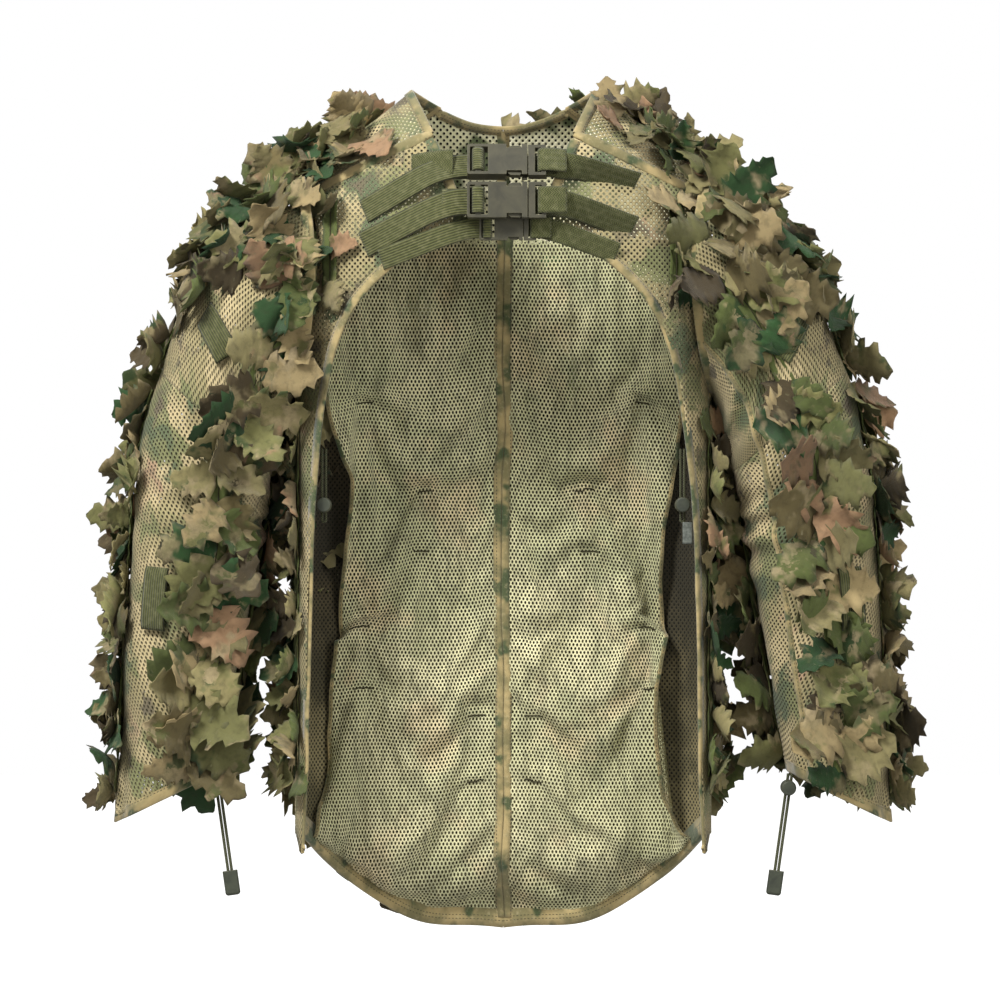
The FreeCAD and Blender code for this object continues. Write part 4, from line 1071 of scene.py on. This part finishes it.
def add_leaves(batch, base, along, out, length, width, share, seed):
    """Cut cloth leaves: lobed outlines, bent along their length, rolled, creased down the middle."""
    rng = np.random.default_rng(seed)
    n = len(base)
    along = unit(along - out * np.sum(along * out, axis=1, keepdims=True))
    side = np.cross(along, out)
    t = np.linspace(0, 1, LEAF_ROWS)
    c = np.linspace(-1, 1, LEAF_COLS)
    half = np.empty((n, LEAF_ROWS, 2))
    skew = np.zeros((n, LEAF_ROWS, 2))
    for hand in range(2):
        shape = LOBES[rng.integers(0, len(LOBES), n)]
        half[:, :, hand] = shape * rng.uniform(0.88, 1.12, (n, LEAF_ROWS))
        tips = (shape[:, 1:-1] > shape[:, :-2]) & (shape[:, 1:-1] > shape[:, 2:])
        skew[:, 1:-1, hand] = np.where(tips, rng.uniform(0.0, 0.06, tips.shape),
                                       rng.uniform(-0.03, 0.01, tips.shape))
    start = np.radians(rng.uniform(*LEAF_LIFT, (n, 1)))
    bend = np.radians(rng.uniform(-62, 58, (n, 1)))
    sway = np.radians(rng.uniform(-14, 14, (n, 1))) * np.sin(t * 6.3)[None, :]
    theta = start + bend * t[None, :] ** 1.3 + sway
    step = (length / (LEAF_ROWS - 1))[:, None]
    run = np.concatenate([np.zeros((n, 1)), np.cumsum(np.cos(theta[:, 1:]) * step, axis=1)], axis=1)
    rise = np.concatenate([np.zeros((n, 1)), np.cumsum(np.sin(theta[:, 1:]) * step, axis=1)], axis=1)
    rise = np.maximum(rise, -2.0)
    forward = along[:, None] * np.cos(theta)[..., None] + out[:, None] * np.sin(theta)[..., None]
    up = -along[:, None] * np.sin(theta)[..., None] + out[:, None] * np.cos(theta)[..., None]
    roll = np.radians(rng.uniform(-26, 26, (n, 1)) + rng.uniform(-34, 34, (n, 1)) * t[None, :])[..., None]
    rolled = side[:, None] * np.cos(roll) + up * np.sin(roll)
    rolled_up = up * np.cos(roll) - side[:, None] * np.sin(roll)
    spine = base[:, None] + along[:, None] * run[..., None] + out[:, None] * rise[..., None]
    w = np.where(c[None, None, :] < 0, half[:, :, :1], half[:, :, 1:]) * width[:, None, None] / 2
    forth = np.where(c[None, None, :] < 0, skew[:, :, :1], skew[:, :, 1:]) * np.abs(c)[None, None, :]
    cup = rng.uniform(-0.35, 0.45, (n, 1, 1))
    crease = rng.uniform(0.0, 0.35, (n, 1, 1))
    ripple = rng.uniform(-1.6, 1.6, (n, LEAF_ROWS, 1)) * np.abs(c)[None, None, :]
    bow = (cup * c[None, None, :] ** 2 + crease * np.abs(c)[None, None, :]) * w + ripple
    points = (spine[:, :, None] + rolled[:, :, None] * (w * c)[..., None]
              + rolled_up[:, :, None] * bow[..., None]
              + forward[:, :, None] * (forth * length[:, None, None])[..., None])
    normal = unit(np.cross(np.gradient(points, axis=1), np.gradient(points, axis=2)))
    uv_u = (w * c) + rng.uniform(0, 4000, (n, 1, 1))
    uv_v = (t[None, :, None] * length[:, None, None] + 0 * c) + rng.uniform(0, 4000, (n, 1, 1))
    uv = metres(uv_u, uv_v)
    size = LEAF_ROWS * LEAF_COLS
    faces = grid_faces(LEAF_ROWS, LEAF_COLS)
    ring = border_loop(LEAF_ROWS, LEAF_COLS)
    after = np.roll(ring, -1)
    rim = np.stack([ring, after, after + size, ring + size], axis=1)
    one = np.concatenate([faces, faces[:, ::-1] + size, rim])
    every = (one[None] + (np.arange(n) * 2 * size)[:, None, None]).reshape(-1, 4)
    verts = np.stack([points + normal * LEAF_THICK / 2, points - normal * LEAF_THICK / 2], axis=1)
    tone = np.repeat(rng.uniform(0, 1, n), 2 * size)
    batch.add(verts, every, np.stack([uv, uv], axis=1), 0, tone=tone, weight=np.repeat(share, 2 * size))


def surface_frames(spot, q, r, dq, dr):
    """Points, unit q- and r-directions and outward normals of a surface given as a function of (q, r)."""
    p = spot(q, r)
    tq = unit(spot(q + dq, r) - spot(q - dq, r))
    tr = unit(spot(q, r + dr) - spot(q, r - dr))
    return p, tq, tr, unit(np.cross(tq, tr))


class LeafBed:
    """Gathers the leaves and tapes of strips, then makes one piece of them."""

    def __init__(self, seed):
        self.rng = np.random.default_rng(seed)
        self.seed = seed
        self.leaves, self.tapes = [], []

    def strip(self, p, t, n, share, side, size, droop):
        """Leaves on both sides of stations p along a strip: t is the way along it, n is outward."""
        rng = self.rng
        p, t, n = flip(p, side), flip(t, side), flip(n, side)
        across = np.cross(t, n)
        for hand in (-1, 1):
            turn = np.radians(rng.uniform(-52, 52, len(p)))[:, None]
            along = hand * across * np.cos(turn) + t * np.sin(turn) + np.array([0, 0, -1.0]) * droop
            base = (p + hand * across * rng.uniform(-2, 4, (len(p), 1))
                    + t * rng.uniform(-7, 7, (len(p), 1)) + n * rng.uniform(1.5, 5.0, (len(p), 1)))
            length = rng.uniform(*size, len(p))
            width = length * rng.uniform(0.74, 1.04, len(p))
            self.leaves.append((base, along, n, length, width, share + np.zeros(len(p))))

    def piece(self, name, body, nodes, line=None):
        batch = Batch()
        add_leaves(batch, *(np.concatenate(values) for values in zip(*self.leaves)), self.seed + 50)
        room = LEAF_BEND_END - LEAF_BEND_START
        verts = batch.rows["verts"][0]
        past = np.maximum(verts[:, 1] - LEAF_BEND_START, 0)
        verts[:, 1] += room * np.tanh(past / room) - past
        for tape in self.tapes:
            strip_tape(batch, *tape)
        batch.piece(name, "leaf thread", body, nodes, "leaf_cloth", line)


# Angles of the strips down each sleeve, and the extra patches at its head: angle and last ring.
SLEEVE_STRIPS = {"left": (-84, -8, 40, 84, 128, 166), "right": (-110, -6, 40, 84, 128, 166)}
HEAD_PATCHES = {"left": ((-34, 1.5), (-58, 1.9)), "right": ((-30, 2.3), (-62, 1.5), (-84, 1.2))}


def strip_tape(batch, p, n, t, share, side, seed):
    """The puckered tape a strip's leaves are cut from, with its stitch line."""
    p, t, n = flip(p, side), flip(t, side), flip(n, side)
    across = np.cross(t, n)
    rng = np.random.default_rng(seed)
    w = np.array([-8.5, -4.5, 0, 4.5, 8.5])
    pucker = rng.uniform(-1.0, 1.4, (len(p), 5)) * np.array([1, .6, .2, .6, 1])
    rise = np.array([2.6, 2.2, 1.0, 2.2, 2.6])[None, :] + pucker
    grid = p[:, None] + across[:, None] * w[None, :, None] + n[:, None] * rise[..., None]
    add_sheet(batch, grid, arc_uv(grid) + seed * 0.11, 0.5, weight=np.repeat(share, 5))
    add_profile(batch, p + n * 2.0, across, n, circle(0.5, 6), mat=1, weight=share)


def sleeve_line(stations, angles):
    """Points, ways along and outward normals of a line down the sleeve."""
    p, t, _, n = surface_frames(sleeve_spot, stations, angles, 0.02, 1.0)
    return p, t, n * np.sign(np.sum(n * (sleeve_spot(stations, angles, 5.0) - p), axis=1, keepdims=True))


def build_sleeve_leaves():
    gap = 23
    for name, side in SIDES.items():
        for part, s0, s1, first_tape in (("upper", 0.35, SPLIT, 300), ("lower", SPLIT + 0.06, 8.85, 320)):
            bed = LeafBed({"left": 100, "right": 200}[name] + (part == "lower") * 7)
            for k, angle in enumerate(SLEEVE_STRIPS[name]):
                mids = np.linspace(s0, s1, 400)
                run = run_length(sleeve_spot(mids, float(angle)))
                count = max(2, int(run[-1] / gap))
                stations = np.interp((np.arange(count) + 0.5) / count * run[-1], run, mids)
                p, t, n = sleeve_line(stations, angle + 3.0 * np.sin(stations * 2 + k))
                size = (36, 54) if -20 < angle < 60 else (42, 64)
                bed.strip(p, t, n, sleeve_share(part, stations), side, size, 0.3)
                fine = np.linspace(stations[0], stations[-1], count * 4)
                p, t, n = sleeve_line(fine, angle + 3.0 * np.sin(fine * 2 + k))
                bed.tapes.append((p, n, t, sleeve_share(part, fine), side, first_tape + k))
            for angle, last in HEAD_PATCHES[name] if part == "upper" else ():
                stations = np.arange(0.3, last, 0.34)
                p, t, n = sleeve_line(stations, np.full(len(stations), float(angle)))
                bed.strip(p, t, n, sleeve_share(part, stations), side, (42, 60), 0.2)
            nodes = {"upper": f"upper_arm_leaves_{name}", "lower": f"forearm_leaves_{name}"}[part]
            bodies, line = sleeve_joint(name, part)
            bed.piece(f"sleeve_{part}_leaves_{name}", bodies,
                      nodes + " sleeve_head_leaves" * (part == "upper" and name == "left"), line)


def trunk_line(x, z, face):
    """Points, ways along and outward normals of an upright line on the trunk."""
    def spot(zs, xs):
        return xyz(xs, form_depth(xs, zs, face), zs)

    p, t, _, n = surface_frames(spot, z, x + 0 * z, 2.0, 0.8)
    return p, t, n * np.sign(np.sum(n * outward_guess(p), axis=1, keepdims=True))


def trunk_strip(bed, x, z0, z1, face, size=(42, 66), droop=0.35):
    for side in SIDES.values():
        z = np.linspace(z0, z1, max(2, int(abs(z1 - z0) / 25)))
        bed.strip(*trunk_line(x, z, face), 0.0, side, size, droop)
        p, t, n = trunk_line(x, np.linspace(z0, z1, len(z) * 4), face)
        bed.tapes.append((p, n, t, np.zeros(len(p)), side, int(400 + x + 3 * face)))


def build_trunk_leaves():
    bed = LeafBed(500)
    for x, z0, z1 in ((24, 58, 735), (66, 62, 735), (108, 76, 715), (146, 104, 690), (176, 140, 660)):
        trunk_strip(bed, x, z0, z1, 1)
    trunk_strip(bed, 190.5, 150, 500, 1, (30, 48))
    trunk_strip(bed, 189.5, 150, 480, -1, (28, 42), 0.5)
    for side in SIDES.values():
        for v, u0, u1 in ((-0.62, 0.25, 0.97), (-0.2, 0.3, 0.98), (0.2, 0.25, 0.98), (0.62, 0.1, 0.98)):
            u = np.linspace(u0 + (0.2 if side < 0 else 0.0), u1, 5)
            p, t, _, n = surface_frames(yoke_spot, u, np.full(5, v), 0.01, 0.02)
            bed.strip(p, t, n * np.sign(n[:, 2:3]), 0.0, side, (30, 52), 0.1)
    trunk_strip(bed, 158, 600, 680, -1, (30, 50), 0.6)
    bed.piece("trunk_leaves_cloth", "jacket", "trunk_leaves")


# ---------------------------------------------------------------- straps, loops and cords
def buckle_point(name, x, y, z=0):
    """A point given as the buckle is drawn, sized, tipped and set before the chest."""
    cx, cz, size, tip, stand = BUCKLES[name]
    a = math.radians(-tip)
    y, z = y * size, z * size
    return np.array([cx + x * size, chest_y(40.0, float(cz)) - stand + y * math.cos(a) - z * math.sin(a),
                     cz + y * math.sin(a) + z * math.cos(a)])


def add_ribbon(batch, poles, widths, wide, thick, count, mat=0, weight=0.0):
    """A flat strap through poles, each with its own width direction, ends square."""
    path, across = smooth_path(poles, count), unit(smooth_path(widths, count))
    way = tangents(path)
    across = unit(across - way * np.sum(across * way, axis=1, keepdims=True))
    w = np.linspace(-wide / 2, wide / 2, 9)
    grid = path[:, None] + across[:, None] * w[None, :, None]
    if np.ndim(weight):
        weight = np.repeat(weight, len(w))
    uv = metres(w[None, :], run_length(path)[:, None])
    normals = np.repeat(unit(np.cross(way, across))[:, None], len(w), axis=1)
    add_sheet(batch, grid, uv, thick, (mat, mat), normals, weight=weight)


STRAP_WIDTH, SMALL_STRAP, STRAP_THICK = 24.5, 0.8, 1.5


def add_strap(batch, name, far, hand, stand, route, count, weight=0.0):
    """A strap from its sewn end on the chest, far as (x, z), to its buckle's bar and then along route."""
    near = buckle_point(name, hand * 50, 0)
    line = np.array([near[0] - far[0], 0, near[2] - far[1]])
    line = line / np.linalg.norm(line) * np.sign(line[0])
    poles, widths = [], []
    for t, off in ((0.0, 2.2), (0.08, 2.4), (0.3, 3.4), (0.55, 6.0), (0.78, 10.0)):
        x, z = mix(far[0], near[0], t), mix(far[1], near[2], t)
        surface = float(chest_y(x, z)) - off - stand * t
        poles.append([x, mix(surface, near[1], max(0.0, (t - 0.5)) ** 1.2), z])
        slope = (float(chest_y(x, z + 8)) - float(chest_y(x, z - 8))) / 16 * -hand
        widths.append([-line[2], slope, line[0]])
    poles += [buckle_point(name, x, y) for x, y in route]
    widths += [buckle_up(name)] * len(route)
    wide = STRAP_WIDTH * (1 if BUCKLES[name][2] == 1 else SMALL_STRAP)
    add_ribbon(batch, poles, widths, wide, STRAP_THICK, count, weight=weight)


def buckle_up(name):
    return buckle_point(name, 0, 0, 1) - buckle_point(name, 0, 0)


def build_straps():
    batch = Batch()
    round_bars = [
        (-46, 7.2), (-34, 6.4), (-29.6, 5.6), (-28.0, 0.5), (-27.6, -5.0), (-25.0, -6.4), (-22.0, -6.4),
        (-19.0, -5.2), (-17.6, 0.5), (-18.0, 7.0), (-24, 9.0), (-38, 9.4), (-56, 9.6),
    ]
    for name, far in (("top", (-128, 671)), ("mid", (-128, 640)), ("low", (-112, 626))):
        add_strap(batch, name, far, -1, 3, round_bars, 110)
    tab = [[x, chest_y(over, z) - off, z] for x, over, z, off in (
        (-84, 84.0, 712.0, 3.5), (-70, 70.0, 714.0, 9), (-58, 58.0, 716.0, 11), (-46, 50.0, 716.0, 10.5))]
    add_ribbon(batch, tab, [[0.05, 0.25, 1.0]] * 4, 24.0, STRAP_THICK, 30, mat=1)
    batch.piece("elastic_strap_bands", "elastic web", "jacket", "elastic_straps", "elastic")

    round_bar = [(46, 5.8), (40, 5.2), (34, 4.4), (31, 0), (34, -4.6), (39, -4.9), (46, -4.4), (58, -2)]
    share = ease(np.linspace(0, 1, 90) / 0.6)
    for name, far, stand, nodes in (("top", (122, 697), 3, "web_straps"), ("mid", (119, 655), 8, ""),
                                    ("low", (104, 632), 3, "")):
        batch = Batch()
        add_strap(batch, name, far, 1, stand, round_bar, len(share), share)
        tail = [buckle_point(name, x, 7.4) for x in (16, 24, 34, 44)]
        add_ribbon(batch, tail, [buckle_up(name)] * 4, 23.0 * BUCKLES[name][2], 1.0, 8, weight=np.ones(8))
        sewn = np.array([far[0], chest_y(*far), far[1]]) * MM
        batch.piece(f"web_strap_{name}", "web", ("jacket", f"latch_{name}"), nodes, "webbing",
                    (tuple(sewn), tuple(buckle_point(name, 31, 0) * MM)))


def loop_rise(run, half, low, high):
    """How far a loop stands off its cloth: it is sewn down at both ends."""
    return low + high * np.clip(1 - (np.abs(run) / half) ** 6, 0, 1)


def build_loops():
    half = 29
    for name, side in SIDES.items():
        middle = sleeve_spot(6.35, -62.0, 3.0)
        down = unit(sleeve_spot(6.8, -62.0, 3.0) - sleeve_spot(5.95, -62.0, 3.0))
        across = sleeve_spot(6.35, -50.0, 3.0) - sleeve_spot(6.35, -74.0, 3.0)
        across = unit(across - down * (across @ down))
        out = np.cross(across, down)
        out = out * -np.sign(out[1])
        run = np.linspace(-half, half, 40)[:, None]
        forearm = middle + down * run + out * loop_rise(run, half, 1.2, 2.8)
        angle = np.linspace(-84, -48, 40)
        upper_arm = sleeve_spot(2.26, angle, loop_rise(angle + 66, 18, 1.0, 2.6))
        width = unit(sleeve_spot(2.4, -66.0) - sleeve_spot(2.12, -66.0))
        for part, body, path, way in (("forearm", f"forearm_{name}", forearm, across),
                                      ("upper_arm", f"upper_sleeve_{name}", upper_arm, width)):
            batch = Batch()
            add_ribbon(batch, flip(path, side), flip(np.tile(way, (40, 1)), side), 25.0, 1.4, 40)
            batch.piece(f"{part}_loop_band_{name}", "elastic", body, f"{part}_loop_{name}", "elastic")
    batch = Batch()
    run = np.linspace(-half, half, 30)
    for x, z in ((128, 531), (78, 386), (134, 257), (27, 172)):
        for side in SIDES.values():
            path = xyz(side * x, form_depth(float(x), z + run, 1) + loop_rise(run, half, 1.2, 2.2), z + run)
            add_ribbon(batch, path, [[1.0, 0, 0]] * len(path), 20.0, 1.2, 30)
    batch.piece("back_loop_bands", "elastic", "jacket", "back_loops", "elastic")


def add_tube(batch, path, radius, weight=0.0):
    side, up = path_frames(path, (0.0, 1.0, 0.3))
    add_profile(batch, path, side, up, circle(radius), weight=weight)


CORD_LOCKS = {"waist": (166.0, -34.0, 402.0), "cuff": (264.18, -30.0, 140.0)}
CORD_GAP = 1.7               # from the middle of a pair of strands to each of them
SPRING_ENDS = (7.9, 4.6)     # the coil's two ends, behind the middle of its lock
SPRING_RADIUS, SPRING_WIRE, SPRING_TURNS = 2.6, 0.3, 2.5


def build_cords():
    batch = Batch()
    x, y, z = CORD_LOCKS["waist"]
    for side in SIDES.values():
        a = np.linspace(0, math.pi, 13)[1:-1]
        down = np.linspace(52, -14, 40)
        loop = [xyz(x - CORD_GAP, y, z + down),
                xyz(x - CORD_GAP * np.cos(a), y, z - 14 - CORD_GAP * np.sin(a)),
                xyz(x + CORD_GAP, y, z + down[::-1])]
        add_tube(batch, flip(np.concatenate(loop), side), 1.2)
    batch.piece("waist_cord_braid", "braid", "jacket", "waist_cords", "cord")
    for name, side in SIDES.items():
        batch = Batch()
        d = np.linspace(0, 92, 60)
        for hand in (-1, 1):
            add_tube(batch, flip(xyz(266.0 + hand * CORD_GAP - 0.14 * d, -30.0, 153.0 - d), side), 1.4)
        batch.piece(f"cuff_cord_braid_{name}", "braid", f"finger_cord_{name}", f"cuff_cord_{name}", "cord")
    batch = Batch()
    xs, zs = np.linspace(165.5, 174.5, 8)[None, :], np.linspace(366, 386, 12)[:, None]
    grid = xyz(xs, -52.2 + 0.5 * np.sin(zs / 4), zs)
    add_sheet(batch, grid, metres(xs, zs), 0.5, normals=np.broadcast_to([0, -1.0, 0], grid.shape))
    batch.piece("waist_tag_cloth", "tag", "jacket", "waist_tag", "tag_cloth")


def build_springs():
    """Coils in the cord locks: one end stays on the barrel's floor, the other goes with the button."""
    turn = np.linspace(0, 1, 90)
    angle = 2 * math.pi * SPRING_TURNS * turn
    for name, side in SIDES.items():
        for kind, barrel, nodes in (("waist", "jacket", "waist_lock_springs" if name == "left" else ""),
                                    ("cuff", f"cuff_cord_lock_{name}", f"cuff_lock_spring_{name}")):
            x, y, z = CORD_LOCKS[kind]
            coil = xyz(x + SPRING_RADIUS * np.cos(angle), y + mix(*SPRING_ENDS, turn),
                       z + SPRING_RADIUS * np.sin(angle))
            batch = Batch()
            add_tube(batch, flip(coil, side), SPRING_WIRE, turn)
            ends = tuple((side * x * MM, (y + back) * MM, z * MM) for back in SPRING_ENDS)
            batch.piece(f"{kind}_spring_coil_{name}", "wire", (barrel, f"{kind}_button_{name}"), nodes,
                        "spring_wire", ends)


def dress_cad_nodes():
    """Hard pieces are shown as the CAD has them, in moulded plastic."""
    for name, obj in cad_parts.items():
        if not obj.hide_render:
            paint = "buckle" if "buckle" in name or "latch" in name else "lock"
            obj.data.materials.clear()
            obj.data.materials.append(MATERIALS[paint])


# ---------------------------------------------------------------- stage
WORLD_LIGHT = 0.52
FLOOR_HALF, FLOOR_Z = 6.0, -0.16


def build_stage():
    world = bpy.data.worlds.new("studio")
    bpy.context.scene.world = world
    world.use_nodes = True
    nodes, links = world.node_tree.nodes, world.node_tree.links
    background = nodes["Background"]
    background.inputs[0].default_value = (1.0, 1.0, 1.0, 1.0)
    rays, strength = nodes.new("ShaderNodeLightPath"), nodes.new("ShaderNodeMapRange")
    strength.inputs["To Min"].default_value, strength.inputs["To Max"].default_value = WORLD_LIGHT, 1.0
    links.new(rays.outputs["Is Camera Ray"], strength.inputs["Value"])
    links.new(strength.outputs[0], background.inputs[1])

    mesh = bpy.data.meshes.new("floor")
    corners = [(x * FLOOR_HALF, y * FLOOR_HALF, FLOOR_Z) for x, y in ((-1, -1), (1, -1), (1, 1), (-1, 1))]
    mesh.from_pydata(corners, [], [(0, 1, 2, 3)])
    graph = Graph("floor_paint")
    mottle = graph.noise(graph.node("ShaderNodeTexCoord").outputs["Object"], 4, 2, 0.5)
    seen = graph.node("ShaderNodeLightPath").outputs["Is Camera Ray"]
    paint = graph.blend(mottle, (0.30, 0.30, 0.29), (0.33, 0.33, 0.32))
    graph.link(graph.blend(seen, (0.0, 0.0, 0.0), (1.0, 1.0, 1.0)), graph.shader.inputs["Emission Color"])
    graph.shader.inputs["Emission Strength"].default_value = 1.0
    mesh.materials.append(graph.finish(paint, 0.9))
    place("floor", mesh)

    for name, at, size, power in (("key", (-1.6, -2.2, 3.0), 1.0, 185), ("fill", (1.9, -2.3, 1.4), 1.6, 38),
                                  ("rim", (0.2, 2.2, 2.4), 2.2, 42)):
        light = bpy.data.lights.new(name, "AREA")
        light.energy, light.size = power, size
        lamp = place(name, light)
        lamp.location = at
        aim = np.array([0, 0, 0.4]) - np.array(at)
        tilt = math.acos(-aim[2] / np.linalg.norm(aim))
        lamp.rotation_euler = (tilt, 0, math.atan2(aim[1], aim[0]) - math.pi / 2)

    camera = bpy.data.cameras.new("camera")
    camera.lens, camera.sensor_width = 193.0, 36.0
    eye = place("camera", camera)
    eye.location = (-0.003, -5.0, 0.4065)
    eye.rotation_euler = (math.radians(90), 0, 0)
    bpy.context.scene.camera = eye
    bpy.context.scene.view_settings.view_transform = "Standard"
    bpy.context.scene.cycles.transparent_max_bounces = 32


build_trunk()
build_sleeves()
build_lining()
build_bindings()
build_seams()
build_sleeve_leaves()
build_trunk_leaves()
build_straps()
build_loops()
build_cords()
build_springs()
dress_cad_nodes()
build_stage()
